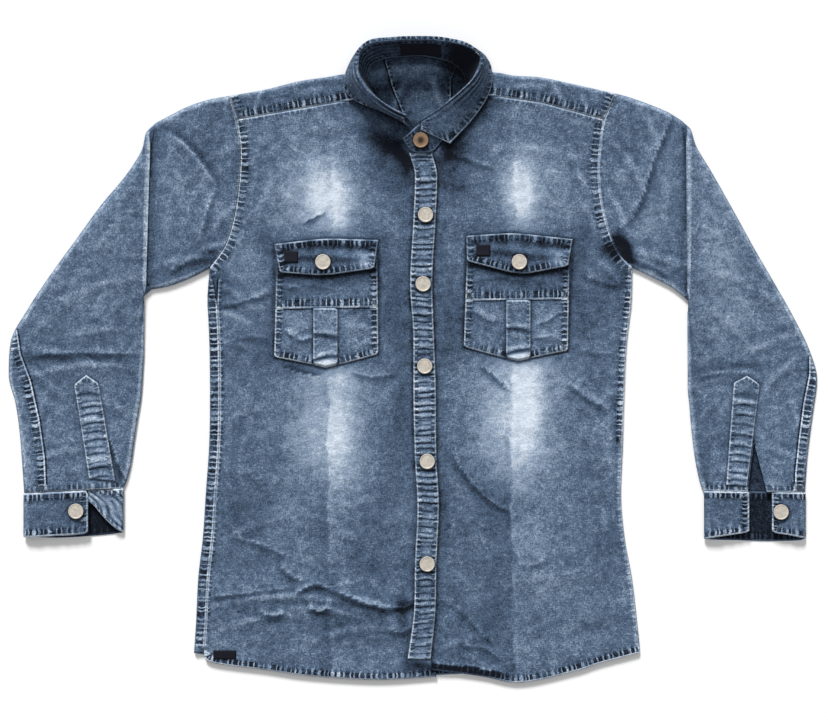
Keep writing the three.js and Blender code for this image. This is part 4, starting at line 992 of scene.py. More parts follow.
def outside_slit(grid):
    """Moves points near the slit's edges onto them, and says which cells stay."""
    tip, low_a, low_b = (np.array(p, float) for p in SLIT)
    top = grid[..., 2] > MID
    x, y = grid[..., 0], grid[..., 1]
    t = np.clip((tip[1] - y) / (tip[1] - low_a[1]), 0, 1)
    left = mix(tip[0], low_a[0], t)
    right = mix(tip[0], low_b[0], t)
    inside = top & (y < tip[1]) & (x > left) & (x < right)
    ends = {}
    for i in range(grid.shape[0]):
        off = np.abs(x[i] - (left[i] + right[i]) / 2)
        row = np.nonzero(top[i] & (y[i] < tip[1] - 1) & (off < 3))[0]
        if len(row) == 0:
            continue
        middle = row[np.argmin(off[row])]
        inside[i, middle] = True
        held = np.nonzero(inside[i])[0]
        rising = x[i, middle + 1] > x[i, middle - 1]
        for j in (held[0] - 1, held[-1] + 1):
            near_left = (j < middle) == rising
            grid[i, j, 0] = left[i, j] if near_left else right[i, j]
        ends[i] = (held[0], held[-1])
    for i, (first, last) in ends.items():
        for near in (i - 1, i + 1):
            if near not in ends or last - first < 2:
                continue
            if ends[near][0] == first + 1:
                grid[i, first] = (grid[i, first - 1] + grid[near, first]) / 2
                inside[i, first] = False
            if ends[near][1] == last - 1:
                grid[i, last] = (grid[i, last + 1] + grid[near, last]) / 2
                inside[i, last] = False
    wrapped = np.concatenate([inside, inside[:, :1]], axis=1)
    cell = wrapped[:-1, :-1] | wrapped[:-1, 1:] | wrapped[1:, 1:] | wrapped[1:, :-1]
    return ~cell


def cuff(side):
    rows = []
    for x, bottom, z in CUFF[side]:
        top = between(x, SLEEVE[side][-1][:2], 0) - WALL / 2 - GAP
        rows.append([(x, mix(float(top), bottom, t), z) for t in (0, 0.25, 0.5, 0.75, 1)])
    grid = refine(np.array(rows, float), across=2.0, down=2.0)
    z = grid[..., 2]
    fan = np.abs(np.linspace(-1, 1, grid.shape[1])) ** 1.5
    ripple = 0.45 * np.sin(grid[..., 0] / 2.1 + 2.3 * np.sin(grid[..., 0] / 13)) * fan
    grid[..., 2] = np.where(z > 6, z + ripple, z)
    flat = unrolled(grid)
    under = np.where(z < 3, 1.35 if side == "right" else 1.0, 0.5)
    shade = 0.06 + button_shade(grid, [f"button_cuff_{side}"])
    u = np.linspace(0, 1, grid.shape[0])[:, None]
    loose = ease((0.3 - u) / 0.1) * (z > 5) if side == "right" else np.zeros_like(z)
    crumple = np.sin((grid[..., 0] + 0.8 * grid[..., 1]) / 1.5 + 2.6 * np.sin(grid[..., 1] / 6.5))
    crumple *= loose * (0.5 + 0.5 * np.sin(grid[..., 0] / 4.3 + 1) * np.sin(grid[..., 1] / 5.1))
    grid[..., 2] += 0.3 * crumple
    shade = shade + 0.5 * np.clip(-crumple, 0, 1) - 0.06 * loose
    return cloth(f"cuff_{side}", grid, round_rim=0.5,
                 looks=dict(edge_band(flat, 4.4, 4.0), flat=flat, shade=shade, shade_inside=under,
                            fade=0.34 * loose, crest=np.clip(0.5 * crest_of(grid) + 0.8 * crumple, -1, 1)))


# Collar.
def collar_stand():
    grid = np.array([[[mix(a, b, t) for a, b in zip(seam, roll)] for t in (0, 0.5, 1)]
                     for seam, roll, _ in COLLAR], float)
    grid = refine(grid, across=1.0, down=1.8)
    flat = unrolled(grid)
    looks = edge_band(flat, 3.2, 2.8)
    looks["seam_k"] = 0.5 * looks["seam_k"]
    back_part = ease((grid[..., 1] - 290) / 50)
    right_part = ease((grid[..., 0] - 34) / 20) * ease((grid[..., 1] - 320) / 20)
    across, run = flat[..., 0], flat[..., 1]
    rolls = np.sin(across / 0.85 + 1.6 * np.sin(run / 21.0)) * (0.6 + 0.4 * np.sin(run / 15.0))
    rolls = rolls * ease((20 - grid[..., 0]) / 50)
    tab = button_shade(grid, ["button_neck"]) * (grid[..., 0] > 0) * (grid[..., 1] < 300)
    cloth("collar_stand", grid, round_rim=0.5,
          looks=dict(looks, flat=flat, crest=np.clip(0.9 * rolls, -1, 1), shade_inside=0.42 + tab,
                     shade=0.2 + 0.4 * back_part + 0.9 * right_part + 0.5 * np.clip(-rolls, 0, 1)))
    return grid


def collar_fall():
    rows = [row for row in COLLAR if row[2]]
    path = []
    for i, (seam, roll, leaf) in enumerate(rows):
        ahead = np.array(rows[min(len(rows) - 1, i + 1)][1], float)
        behind = np.array(rows[max(0, i - 1)][1], float)
        seam, roll, leaf = (np.array(p, float) for p in (seam, roll, leaf))
        up = (roll - seam) / np.linalg.norm(roll - seam)
        away = np.array([behind[1] - ahead[1], ahead[0] - behind[0], 0])
        away /= np.linalg.norm(away)
        away -= up * (away @ up)
        away /= np.linalg.norm(away)
        start = roll + up * (WALL / 2 + LEAF_GAP)
        over = start - away * LEAF_TURN / 2 - up * 0.3
        turn = start + up * LEAF_GAP + away * LEAF_TURN / 2
        drop = start + away * LEAF_TURN + np.array([0, 0, -LEAF_GAP])
        column = [over, start, turn, drop]
        for t in (0.35, 0.7, 1):
            column.append(mix(drop, leaf, t) + away * 1.5 * math.sin(math.pi * t))
        path.append(column)
    path = refine_axis(np.array(path), 1, 1.0)
    corner = len(path) - 2
    grid = np.concatenate([refine_axis(path[:corner + 1], 0, 1.8), refine_axis(path[corner:], 0, 1.8)[1:]])
    flat = unrolled(grid)
    free_edge = np.concatenate([flat[0, 12:], flat[1:, -1], flat[-1, -2:12:-1]])
    turn = np.cross(free_edge[1:] - free_edge[:-1], flat.mean(axis=(0, 1)) - free_edge[:-1]).sum()
    inward = 1 if turn > 0 else -1
    looks = seam_lines(flat, [([tuple(q) for q in free_edge[::2]], 4.0 * inward, 3.6, 0.9)])
    u, run = flat[..., 0], flat[..., 1]
    rolled = np.exp(-(u / 13) ** 2)
    lines = np.sin(u + 1.6 * np.sin(run / 23.0)) * (0.65 + 0.35 * np.sin(run / 17.0 + 1))
    backed = ease((grid[..., 1] - 350) / 16)
    grid = grid + normals(grid) * (0.35 * lines * rolled)[..., None]
    near_roll = np.abs(u - 4.2) / 2.6
    on_roll = (backed > 0.5) & (near_roll < looks["seam_d"])
    looks = either({"seam_d": near_roll, "seam_s": run, "seam_e": np.full(u.shape, 9.0),
                    "seam_k": 0.9 * backed}, on_roll, looks)
    open_lines = rolled * (1 - backed)
    cloth("collar_fall", grid, round_rim=0.6,
          looks=dict(looks, flat=flat, shade=0.2 + 0.9 * np.clip(-lines, 0, 1) * open_lines, shade_inside=0.7,
                     crest=np.clip(0.2 * rolled + 1.6 * lines * open_lines, -1, 1)))


# Pieces that lie on others.
def heights(x, y, under):
    """Height of the uppermost of some pieces at each place."""
    best = np.full(x.shape, -1.0)
    for piece in under:
        tree = TREES[piece.name]
        for index in np.ndindex(x.shape):
            hit = tree.ray_cast(Vector((x[index] * MM, y[index] * MM, 0.2)), Vector((0, 0, -1)))
            if hit[0] is not None:
                best[index] = max(best[index], hit[0].z / MM)
    return best


TREES = {}


def remember(piece):
    mesh = piece.data
    co = np.empty(3 * len(mesh.vertices), np.float32)
    mesh.vertices.foreach_get("co", co)
    faces = [tuple(p.vertices) for p in mesh.polygons]
    TREES[piece.name] = BVHTree.FromPolygons([tuple(c) for c in co.reshape(-1, 3)], faces)
    return piece


def laid(name, flat, under, lift=0.0, wall=WALL, looks=None, smooth=2):
    """A flat piece of cloth laid on others, from its places in the plane."""
    x, y = flat[..., 0], flat[..., 1]
    z = soften(heights(x, y, under), smooth) + GAP + wall / 2 + lift
    grid = np.stack([x, y, z], axis=-1)
    return remember(cloth(name, grid, wall=wall, looks=looks, round_rim=0.45))


def soften(z, rounds):
    for _ in range(rounds):
        wide = np.pad(z, 1, mode="edge")
        near = np.stack([wide[1:-1, 1:-1], wide[:-2, 1:-1], wide[2:, 1:-1], wide[1:-1, :-2], wide[1:-1, 2:]])
        z = np.maximum(near.mean(axis=0), z - 0.05)
    return z


def edge_band(flat, inset, half, extra=()):
    """Seam band round the border of a grid, and along lines across it."""
    border = np.concatenate([flat[0], flat[1:, -1], flat[-1, -2::-1], flat[-2::-1, 0]])
    turn = np.cross(border, np.roll(border, -1, axis=0)).sum()
    points = [tuple(q) for q in border[::3]] + [tuple(border[0])]
    return seam_lines(flat, [(points, inset if turn > 0 else -inset, half, 1.0), *extra])


def puckers(along, spacing, seed):
    """Uneven drawn-up ridges down a strip, each with a groove below it."""
    rng = np.random.default_rng(seed)
    at, end = along.min() - spacing, along.max()
    total = np.zeros_like(along)
    while at < end:
        at += spacing * rng.uniform(0.55, 1.45)
        wide, high = spacing * rng.uniform(0.18, 0.36), rng.uniform(0.3, 1.1)
        total += high * np.exp(-((along - at) / wide) ** 2)
        total -= high * np.exp(-((along - at - 1.6 * wide) / (0.55 * wide)) ** 2)
    return total


def button_shade(xy, names):
    """The painted shadow that a button casts round itself, centred a little below it."""
    shade = np.zeros(xy.shape[:-1])
    for name in names:
        bx, by = BUTTONS[name]
        r = np.hypot(xy[..., 0] - bx, xy[..., 1] - by + 1.2)
        shade = np.maximum(shade, 0.75 * np.exp(-np.maximum(r - BUTTON_R, 0) / 1.7))
    return shade


def button_stand(front_right):
    y = np.linspace(PLACKET_Y[0], PLACKET_Y[-1], 470)
    u = np.linspace(0, 1, 15)
    outer, inner = placket_at("outer", y), placket_at("inner", y) - 2 * GAP
    x = mix(outer[:, None], inner[:, None], u[None])
    flat = np.stack([x, np.broadcast_to(y[:, None], x.shape)], axis=-1)
    centre = 1 - (2 * u - 1) ** 2
    down = -y[:, None] + 0.9 * np.sin(3 * u[None] + y[:, None] / 40)
    wave = puckers(down, 7.4, 5) * (0.3 + 0.7 * centre)[None]
    from_edge = np.minimum(x - outer[:, None], inner[:, None] - x)
    names = [name for name in BUTTONS if name.startswith("button_front")]
    end = np.exp(-(y - PLACKET_Y[-1]) / 5)[:, None]
    looks = dict(seam_d=np.abs(from_edge - 3.2) / 2.8, seam_e=from_edge, seam_s=-flat[..., 1], seam_k=0.75,
                 fade=0.06 + 0.4 * end, shade=1.2 * np.clip(-wave, 0, 1) + button_shade(flat, names),
                 crest=np.clip(1.4 * wave, -1, 1))
    return laid("placket", flat, [front_right], looks=looks, lift=0.5 * wave)


def pocket_bottom(side):
    """The lower edge of a pocket, from 0 at one side over its point to 1."""
    p = POCKET[side]
    (x0, y0), (x1, y1) = p["side"]
    middle = (p["point"][0] - x0) / (x1 - x0)

    def bottom(x):
        u = (x - x0) / (x1 - x0)
        low = mix(y0, y1, u)
        return mix(low, p["point"][1], np.where(u < middle, u / middle, (1 - u) / (1 - middle)))
    return bottom


def pocket(side, panel):
    p = POCKET[side]
    (x0, _), (x1, _) = p["side"]
    (top_x0, top_y0), (top_x1, top_y1) = p["top"]
    U, V = np.meshgrid(np.linspace(0, 1, 58), np.linspace(0, 1, 60))
    low_x = mix(x0, x1, U)
    x = mix(mix(top_x0, top_x1, U), low_x, V)
    y = mix(mix(top_y0, top_y1, U), pocket_bottom(side)(low_x), V)
    flat = np.stack([x, y], axis=-1)
    band = [(x0 - 2, p["band"]), (x1 + 2, p["band"] + 2)]
    below_flap = -distance(flat, p["flap_edge"])
    deep = np.maximum(below_flap, 0)
    shade = np.where(below_flap > -1, 1.1 * np.exp(-deep / 4.5) + 0.55 * np.exp(-deep / 16), 1.0)
    middle_x, low_y = p["point"]
    strip_x = [middle_x - STRIP_W / 2, middle_x + STRIP_W / 2]
    strip = [(strip_x[0], low_y), (strip_x[0], p["band"]), (strip_x[1], p["band"]), (strip_x[1], low_y)]
    shade = np.maximum(shade, 0.85 * contact(flat, [strip], 1.7))
    worn = bumps(x, y, [(middle_x - 44, 30, 20, 12, -30, 0.1), (middle_x + 38, 40, 20, 14, 10, 0.1)])
    lap, lap_shade = lapped(flat, POCKET_FOLDS[side])
    wrinkles = bumps(x, y, POCKET_CREASES[side]) + lap
    return laid(f"pocket_{side}", flat, [panel], lift=0.7 * wrinkles,
                looks=dict(edge_band(flat, 4.4, 4.0, [(band, 5.5, 5.0, 1.0)]), fade=np.clip(worn, 0, 1),
                           crest=np.clip(0.6 * wrinkles, -1, 1), shade=shade + lap_shade))


def pocket_flap(side, panel, body):
    p = POCKET[side]
    across = np.linspace(0, 1, 58)
    u, v = across[None], np.linspace(0, 1, 20)[:, None]
    flat = mix(through_corners(p["flap_top"])(across)[None], through_corners(p["flap_edge"])(across)[None],
               v[..., None])
    dent = 0.7 * np.sin(u * 31 + 1.5 * np.sin(u * 9)) * (1 - v) ** 3
    rise = 0.35 * np.sin(u * 8) * v + 1.6 * v ** 2 + 0.5 * dent
    streak = np.sin(v * 15 + 2 * np.sin(u * 5) + 3 * u) * np.sin(math.pi * v)
    corner = 0.75 * np.exp(-((u - 0.9) / 0.09) ** 2 - ((v - 0.72) / 0.22) ** 2)
    shade = (0.2 + 0.5 * np.clip(-dent, 0, 1) + 0.25 * np.clip(-streak, 0, 1) - 0.2 * corner
             + button_shade(flat, [f"button_pocket_{side}"]))
    return laid(f"pocket_flap_{side}", flat, [panel, body],
                lift=rise, smooth=6,
                looks=dict(edge_band(flat, 4.6, 4.2), fade=0.03 + corner, shade=shade,
                           crest=np.clip(dent + 0.5 * streak, -1, 1)))


def pocket_strip(side, body):
    p = POCKET[side]
    middle_x, low_y = p["point"]
    across = np.linspace(middle_x - STRIP_W / 2, middle_x + STRIP_W / 2, 15)
    low = pocket_bottom(side)(across) + 1.5
    y = mix(np.full_like(across, p["band"])[None], low[None], np.linspace(0, 1, 34)[:, None])
    x = np.broadcast_to(across, y.shape)
    flat = np.stack([x, y], axis=-1)
    looks = edge_band(flat, 2.4, 2.1)
    low_end = bumps(x, y, [(middle_x, low_y + 6, 26, 8, 0, 1.0)])
    fold = bumps(x, y, [(middle_x - 2, low_y + 17, 20, 2.4, 12, 1.0), (middle_x, low_y + 44, 20, 2.6, -8, 0.8)])
    laid(f"pocket_strip_{side}", flat, [body], lift=0.7 * fold,
         looks=dict(looks, seam_k=0.4 * looks["seam_k"], fade=0.14 + low_end, crest=np.clip(1.2 * fold, -1, 1),
                    shade=1.5 * np.clip(np.roll(fold, 2, axis=0) - fold, 0, 1)))


def oblong(middle, size, columns, rows):
    """Places in an oblong about its middle."""
    across, down = np.linspace(-0.5, 0.5, columns), np.linspace(0.5, -0.5, rows)
    return np.stack(np.meshgrid(middle[0] + across * size[0], middle[1] + down * size[1]), axis=-1)


def through_corners(points):
    """A line of straight runs with the corner in the middle a little round."""
    def line(t):
        p = np.array(points, float)
        x = np.interp(t, [0, 0.5, 1], p[:, 0])
        y = np.interp(t, [0, 0.5, 1], p[:, 1])
        bend = p[1] - (p[0] + p[2]) / 2
        return np.stack([x, y - 0.12 * bend[1] * np.exp(-((t - 0.5) / 0.06) ** 2)], axis=-1)
    return line


def sleeve_placket(side, sleeve_piece):
    p = SLEEVE_PLACKET[side]
    ends = ("far", "near") if p["far"][0] < p["near"][0] else ("near", "far")
    v = np.linspace(0, 1, 90)
    a = [mix(np.array(p[e], float), np.array(p[e + "_end"], float), v[:, None]) for e in ends]
    u = np.linspace(0, 1, 15)
    flat = mix(a[0][:, None], a[1][:, None], u[None, :, None])
    tip = np.array(p["tip"], float)
    rise = (tip[1] - flat[0, :, 1]) * (1 - np.abs(2 * u - 1))
    flat[..., 1] += rise[None] * (1 - np.clip(v[:, None] * 6, 0, 1))
    border = [tuple(q) for q in np.concatenate([flat[:0:-1, 0], flat[0], flat[1:, -1]])[::2]]
    looks = seam_lines(flat, [(border, -2.8, 2.5, 0.5)])
    centre = 1 - 0.7 * (2 * u - 1) ** 2
    tilt, seed = {"right": (0.12, 8), "left": (-0.1, 3)}[side]
    wave = puckers(-flat[..., 1] + tilt * flat[..., 0] + 2.0 * np.sin(3 * u)[None], 9.6, seed)
    wave *= centre[None] * ease(v[:, None] * 7 - 0.6)
    cross = np.exp(-((v[:, None] - 0.12) / 0.016) ** 2) * centre[None]
    return laid(f"sleeve_placket_{side}", flat, [sleeve_piece],
                lift=0.5 * wave - 0.3 * cross,
                looks=dict(looks, fade=0.08, shade=0.8 * cross + 0.85 * np.clip(-wave, 0, 1) - 0.05,
                           crest=np.clip(1.5 * wave, -1, 1)))


def neck_label(stand_grid):
    """Lies against the inner side of the collar stand, at the back."""
    back_rows = [i for i, (x, y, _) in enumerate(stand_grid[:, 0]) if y > 366 and -16 < x < 33]
    strip = stand_grid[back_rows[0]:back_rows[-1] + 1]
    n = normals(strip)
    if n[..., 1].sum() > 0:
        n = -n
    cols = strip.shape[1]
    grid = (strip + n * (ONTO - 0.2))[:, int(cols * 0.12):int(cols * 0.8)]
    grid[..., 0] = np.linspace(*NECK_LABEL_ENDS, len(grid))[:, None]
    cloth("label_neck", grid, wall=LABEL_WALL)


# Buttons, modelled once and copied.
def button_master():
    bpy.ops.object.select_all(action="DESELECT")
    bpy.ops.mesh.primitive_cylinder_add(vertices=40, radius=BUTTON_R * MM,
                                        depth=(BUTTON_H - BUTTON_SHANK) * MM,
                                        location=(0, 0, (BUTTON_H + BUTTON_SHANK) / 2 * MM))
    cap = bpy.context.object
    bpy.ops.object.transform_apply(location=True, rotation=True, scale=True)
    bpy.ops.object.mode_set(mode="EDIT")
    pick_face(cap, lambda f: f.normal.z > 0.9)
    for thickness, depth in CAP_STEPS:
        bpy.ops.mesh.inset(thickness=thickness * MM, depth=depth * MM)
    pick_face(cap, lambda f: f.normal.z < -0.9)
    bpy.ops.mesh.inset(thickness=(BUTTON_R - SHANK_R) * MM, depth=0)
    bpy.ops.mesh.extrude_region_move(TRANSFORM_OT_translate={"value": (0, 0, -BUTTON_SHANK * MM)})
    bpy.ops.object.mode_set(mode="OBJECT")
    bevel = cap.modifiers.new("edge", "BEVEL")
    bevel.width = CAP_ROUND * MM
    bevel.segments = 3
    bevel.limit_method = "ANGLE"
    bevel.angle_limit = math.radians(30)
    bpy.ops.object.modifier_apply(modifier=bevel.name)
    bpy.ops.object.shade_smooth_by_angle(angle=math.radians(40))
    return cap


def pick_face(piece, test):
    """Selects one face in edit mode, by its direction."""
    bpy.ops.mesh.select_all(action="DESELECT")
    bpy.ops.object.mode_set(mode="OBJECT")
    for face in piece.data.polygons:
        face.select = bool(test(face))
    bpy.ops.object.mode_set(mode="EDIT")
    bpy.ops.mesh.select_mode(type="FACE")


def place_buttons(master):
    for name in BUTTONS:
        low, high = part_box(name)
        piece = master.copy()
        piece.data = master.data.copy()
        piece.name = name + "_cap"
        bpy.context.collection.objects.link(piece)
        middle = [(a + b) / 2 for a, b in zip(low, high)]
        piece.location = (middle[0], middle[1], low[2])
        activate(piece)
        bpy.ops.object.transform_apply(location=True, rotation=True, scale=True)
        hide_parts(name)
        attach(piece, "root")
        PIECES.append(piece)
    bpy.data.objects.remove(master)


# Materials.
class Nodes:
    """Short calls for the nodes of one material."""

    def __init__(self, name):
        self.material = bpy.data.materials.new(name)
        self.material.use_nodes = True
        self.tree = self.material.node_tree
        self.shader = self.tree.nodes["Principled BSDF"]

    def node(self, kind, values=(), **settings):
        made = self.tree.nodes.new(kind)
        for key, value in settings.items():
            setattr(made, key, value)
        for key, value in dict(values).items():
            self.feed(made.inputs[key], value)
        return made

    def feed(self, socket, value):
        if isinstance(value, bpy.types.NodeSocket):
            self.tree.links.new(value, socket)
        else:
            socket.default_value = value

    def math(self, operation, a, b=0.0, c=0.0, clamp=False):
        made = self.tree.nodes.new("ShaderNodeMath")
        made.operation = operation
        made.use_clamp = clamp
        for socket, value in zip(made.inputs, (a, b, c)):
            self.feed(socket, value)
        return made.outputs[0]

    def times(self, a, b, clamp=False):
        return self.math("MULTIPLY", a, b, clamp=clamp)

    def less(self, a, b):
        return self.math("SUBTRACT", a, b)

    def onto(self, value, part, weight, clamp=False):
        """A value with a part of some weight added."""
        return self.math("MULTIPLY_ADD", part, weight, value, clamp=clamp)

    def read(self, name):
        return self.node("ShaderNodeAttribute", attribute_name=name).outputs["Fac"]

    def linear(self, value, low, high):
        levels = {"Value": value, "From Min": low, "From Max": high}
        return self.node("ShaderNodeMapRange", levels).outputs[0]

    def ramp(self, value, low, high, to_low=0.0, to_high=1.0):
        """A smooth step of a value between two levels."""
        levels = {"Value": value, "From Min": low, "From Max": high, "To Min": to_low, "To Max": to_high}
        return self.node("ShaderNodeMapRange", levels, interpolation_type="SMOOTHSTEP").outputs[0]

    def fall(self, value, low, high):
        """One below the first level and nothing above the second."""
        return self.less(1.0, self.ramp(value, low, high))

    def noise(self, vector, scale, detail=2.0, rough=0.5):
        levels = {"Vector": vector, "Scale": scale, "Detail": detail, "Roughness": rough}
        return self.node("ShaderNodeTexNoise", levels).outputs["Fac"]

    def scaled(self, vector, size):
        return self.node("ShaderNodeMapping", {"Vector": vector, "Scale": size}).outputs[0]

    def blend(self, share, first, second):
        made = self.node("ShaderNodeMix", {"Factor": share, "A": first, "B": second}, data_type="RGBA")
        return made.outputs["Result"]

    def bump(self, height, strength, distance, under=None):
        levels = {"Height": height, "Strength": strength, "Distance": distance}
        if under is not None:
            levels["Normal"] = under
        return self.node("ShaderNodeBump", levels).outputs[0]

    def surface(self, levels):
        for key, level in levels.items():
            self.feed(self.shader.inputs[key], level)
        return self.material


# Colours of the denim from its darkest tone, 0, to its palest, 1.
DARK = (0.003, 0.005, 0.010, 1)
DEEP = (0.034, 0.055, 0.094, 1)
INDIGO = (0.082, 0.128, 0.202, 1)
PALE = (0.25, 0.325, 0.43, 1)
WHITE = (0.66, 0.73, 0.82, 1)
MIDDLE_STOPS = ((0.26, DEEP), (0.5, INDIGO), (0.76, PALE))
# The tone of the unworn cloth, what each pattern adds to it, and the patterns
# that lie about a half, which add nothing on the whole. Besides the washing, crest
# pales raised cloth, partly as wear and partly as painted highlight, and darkens
# its hollows as painted shade; folds is a painted highlight along the wrinkles' crests.
BASE_TONE = 0.135
BAND_TONE = -0.03
WASH_AND_SHADING_WEIGHTS = {"large": 0.3, "medium": 0.24, "mottle": 0.52, "grain": 0.85, "threads": 0.8,
        "crest": 0.24, "folds": 0.06, "crackle": 0.12}
ABOUT_HALF = ("mottle", "grain", "threads")
RELIEF = {"mottle": 0.8, "threads": 0.4, "twill": 0.08}
# What worn places and seam edges keep of the tone and add to it.
WORN_TAKES, WORN_ADDS = -0.78, 0.86
EDGE_TONE = 0.96
# Painted shade: in the ditch beside a seam, and the shade of each point, which takes from the tone and dims it.
DITCH_SHADE = -0.5
SHADE_TAKES, SHADE_DIMS = -0.4, -0.35
STITCH_WAVE = 2.2                  # of the stitches, for each mm along the seam
PUCKER_WAVE = 0.95                 # of the puckers between them
THREAD = (190.0, 760.0)            # threads along and across, for each metre
TWILL = 430.0


def wash_and_wrinkle_patterns(n, place):
    """Patterns of the weave, the washing and the wrinkles, each from 0 to 1;
    folds is the wrinkles' pattern, which the tone also uses for a painted highlight on their crests.
    """
    flat = n.node("ShaderNodeUVMap", uv_map="cloth").outputs[0]
    weft = n.noise(n.scaled(flat, (*THREAD, 1.0)), 1.0, 2.0, 0.6)
    warp = n.noise(n.scaled(flat, (*THREAD[::-1], 1.0)), 1.0, 2.0, 0.6)
    twill = n.node("ShaderNodeTexWave", {"Vector": flat, "Scale": TWILL, "Distortion": 0.6, "Detail": 1.0},
                   wave_type="BANDS", bands_direction="DIAGONAL").outputs["Fac"]
    drift = n.node("ShaderNodeTexNoise", {"Vector": place, "Scale": 40.0, "Detail": 3.0}).outputs["Color"]
    bent = n.node("ShaderNodeVectorMath", {0: drift, 1: (0.02, 0.02, 0.02), 2: place},
                  operation="MULTIPLY_ADD").outputs[0]
    crack = n.node("ShaderNodeTexVoronoi", {"Vector": bent, "Scale": 46.0},
                   feature="DISTANCE_TO_EDGE").outputs["Distance"]
    folds = n.noise(n.scaled(place, (16.0, 26.0, 1.0)), 1.0, 4.0, 0.55)
    folds = n.math("ABSOLUTE", n.math("MULTIPLY_ADD", folds, 4.0, -2.0))
    return {
        "large": n.noise(place, 9.0, 3.0, 0.55),
        "medium": n.noise(n.scaled(place, (22.0, 30.0, 1.0)), 1.0, 3.0, 0.55),
        "mottle": n.noise(place, 110.0, 5.0, 0.7),
        "grain": n.noise(place, 560.0, 2.0, 0.7),
        "threads": n.times(n.math("ADD", weft, warp), 0.5),
        "twill": twill,
        "crackle": n.times(n.fall(crack, 0.0, 0.06), n.ramp(n.noise(place, 24.0, 2.0), 0.5, 0.66)),
        "folds": n.math("SUBTRACT", 1.0, folds, clamp=True),
    }


def stitched(n, place, marks):
    """What the stitches do across each seam band: they draw up pale ridges
    with dark between them, beside a bright edge and the painted shade of the
    ditch next to it."""
    band, run, line, power = (marks[key] for key in NO_SEAM)
    along = n.node("ShaderNodeCombineXYZ", {"X": n.times(run, 0.07), "Y": n.times(band, 0.2)}).outputs[0]
    wander = n.times(n.noise(along, 1.0, 2.0, 0.6), 16.0)
    patchy = n.ramp(n.noise(place, 60.0, 2.0), 0.3, 0.62, 0.35, 1.0)
    banded = n.fall(band, 1.1, 1.3)
    firm = n.math("POWER", power, 0.4)
    bright = n.times(n.times(n.times(banded, n.fall(line, 1.1, 2.2)), firm), n.onto(0.5, patchy, 0.5), clamp=True)
    return {
        "ridge": n.ramp(n.math("SINE", n.onto(wander, run, PUCKER_WAVE)), -0.4, 0.85),
        "strength": n.times(power, patchy),
        "inside": n.fall(band, 0.8, 1.05),
        "near": n.fall(band, 1.0, 2.2),
        "rows": n.fall(n.math("ABSOLUTE", n.less(band, 0.7)), 0.05, 0.2),
        "stitch": n.ramp(n.math("SINE", n.times(run, STITCH_WAVE)), -0.3, 0.5),
        "bright": bright,
        "ditch": n.times(n.times(n.less(1.0, banded), n.fall(line, 1.0, 3.2)), firm),
    }


def denim_tone(n, tone, wash_and_shading, seam, marks):
    """The tone of the cloth, from 0 dark to 1 pale, with the painted shade of the seams' ditches and of each point
    taken from it at the end.
    """
    value = BASE_TONE + tone
    for key, weight in WASH_AND_SHADING_WEIGHTS.items():
        value = n.onto(value, n.less(wash_and_shading[key], 0.5) if key in ABOUT_HALF else wash_and_shading[key], weight)
    ridge, inside = seam["ridge"], seam["inside"]
    beside = n.less(seam["near"], inside)
    value = n.onto(value, n.times(inside, seam["strength"]), n.onto(-0.42, ridge, 0.72))
    value = n.onto(value, n.times(beside, seam["strength"]), n.onto(-0.15, ridge, 0.18))
    value = n.onto(value, n.times(seam["rows"], marks["seam_k"]), n.onto(-0.18, seam["stitch"], 0.26))
    worn = n.linear(n.onto(marks["fade"], n.less(wash_and_shading["mottle"], 0.5), 0.5), -0.04, 1.04)
    value = n.math("ADD", n.times(value, n.onto(1.0, worn, WORN_TAKES)), n.times(worn, WORN_ADDS))
    bright = seam["bright"]
    value = n.math("ADD", n.times(value, n.less(1.0, bright)), n.times(bright, EDGE_TONE))
    value = n.onto(value, seam["ditch"], DITCH_SHADE)
    value = n.onto(value, marks["shade"], SHADE_TAKES, clamp=True)
    return n.times(value, n.onto(1.0, marks["shade"], SHADE_DIMS), clamp=True)


def denim_height(n, wash_and_shading, seam, power):
    """Relief of the stitches and of the weave."""
    raised = n.times(n.times(seam["near"], seam["strength"]), seam["ridge"])
    height = n.onto(n.times(wash_and_shading["grain"], 0.2), raised, 1.2)
    height = n.onto(height, seam["inside"], n.times(power, 0.5))
    height = n.onto(height, seam["rows"], n.times(power, -0.35))
    for key, weight in RELIEF.items():
        height = n.onto(height, wash_and_shading[key], weight)
    return height


def denim(name, tone=0.0):
    """Washed indigo twill: mottled, worn pale at seams and fades, pale at crests as wear and painted light."""
    n = Nodes(name)
    place = n.node("ShaderNodeTexCoord").outputs["Object"]
    marks = {key: n.read(key) for key in POINT_LOOKS}
    wash_and_shading = dict(wash_and_wrinkle_patterns(n, place), crest=marks["crest"])
    seam = stitched(n, place, marks)

    colour = n.node("ShaderNodeValToRGB")
    n.feed(colour.inputs[0], denim_tone(n, tone, wash_and_shading, seam, marks))
    stops = colour.color_ramp.elements
    stops[0].position, stops[0].color = 0.0, DARK
    stops[1].position, stops[1].color = 1.0, WHITE
    for position, tint in MIDDLE_STOPS:
        stop = stops.new(position)
        stop.color = tint
    soft = n.bump(wash_and_shading["folds"], 0.45, 0.0026)
    fine = n.bump(denim_height(n, wash_and_shading, seam, marks["seam_k"]), 0.8, 0.0012, soft)
    return n.surface({"Base Color": colour.outputs[0], "Normal": fine, "Roughness": 0.92,
                      "Specular IOR Level": 0.12, "Sheen Weight": 0.04, "Sheen Roughness": 0.5})


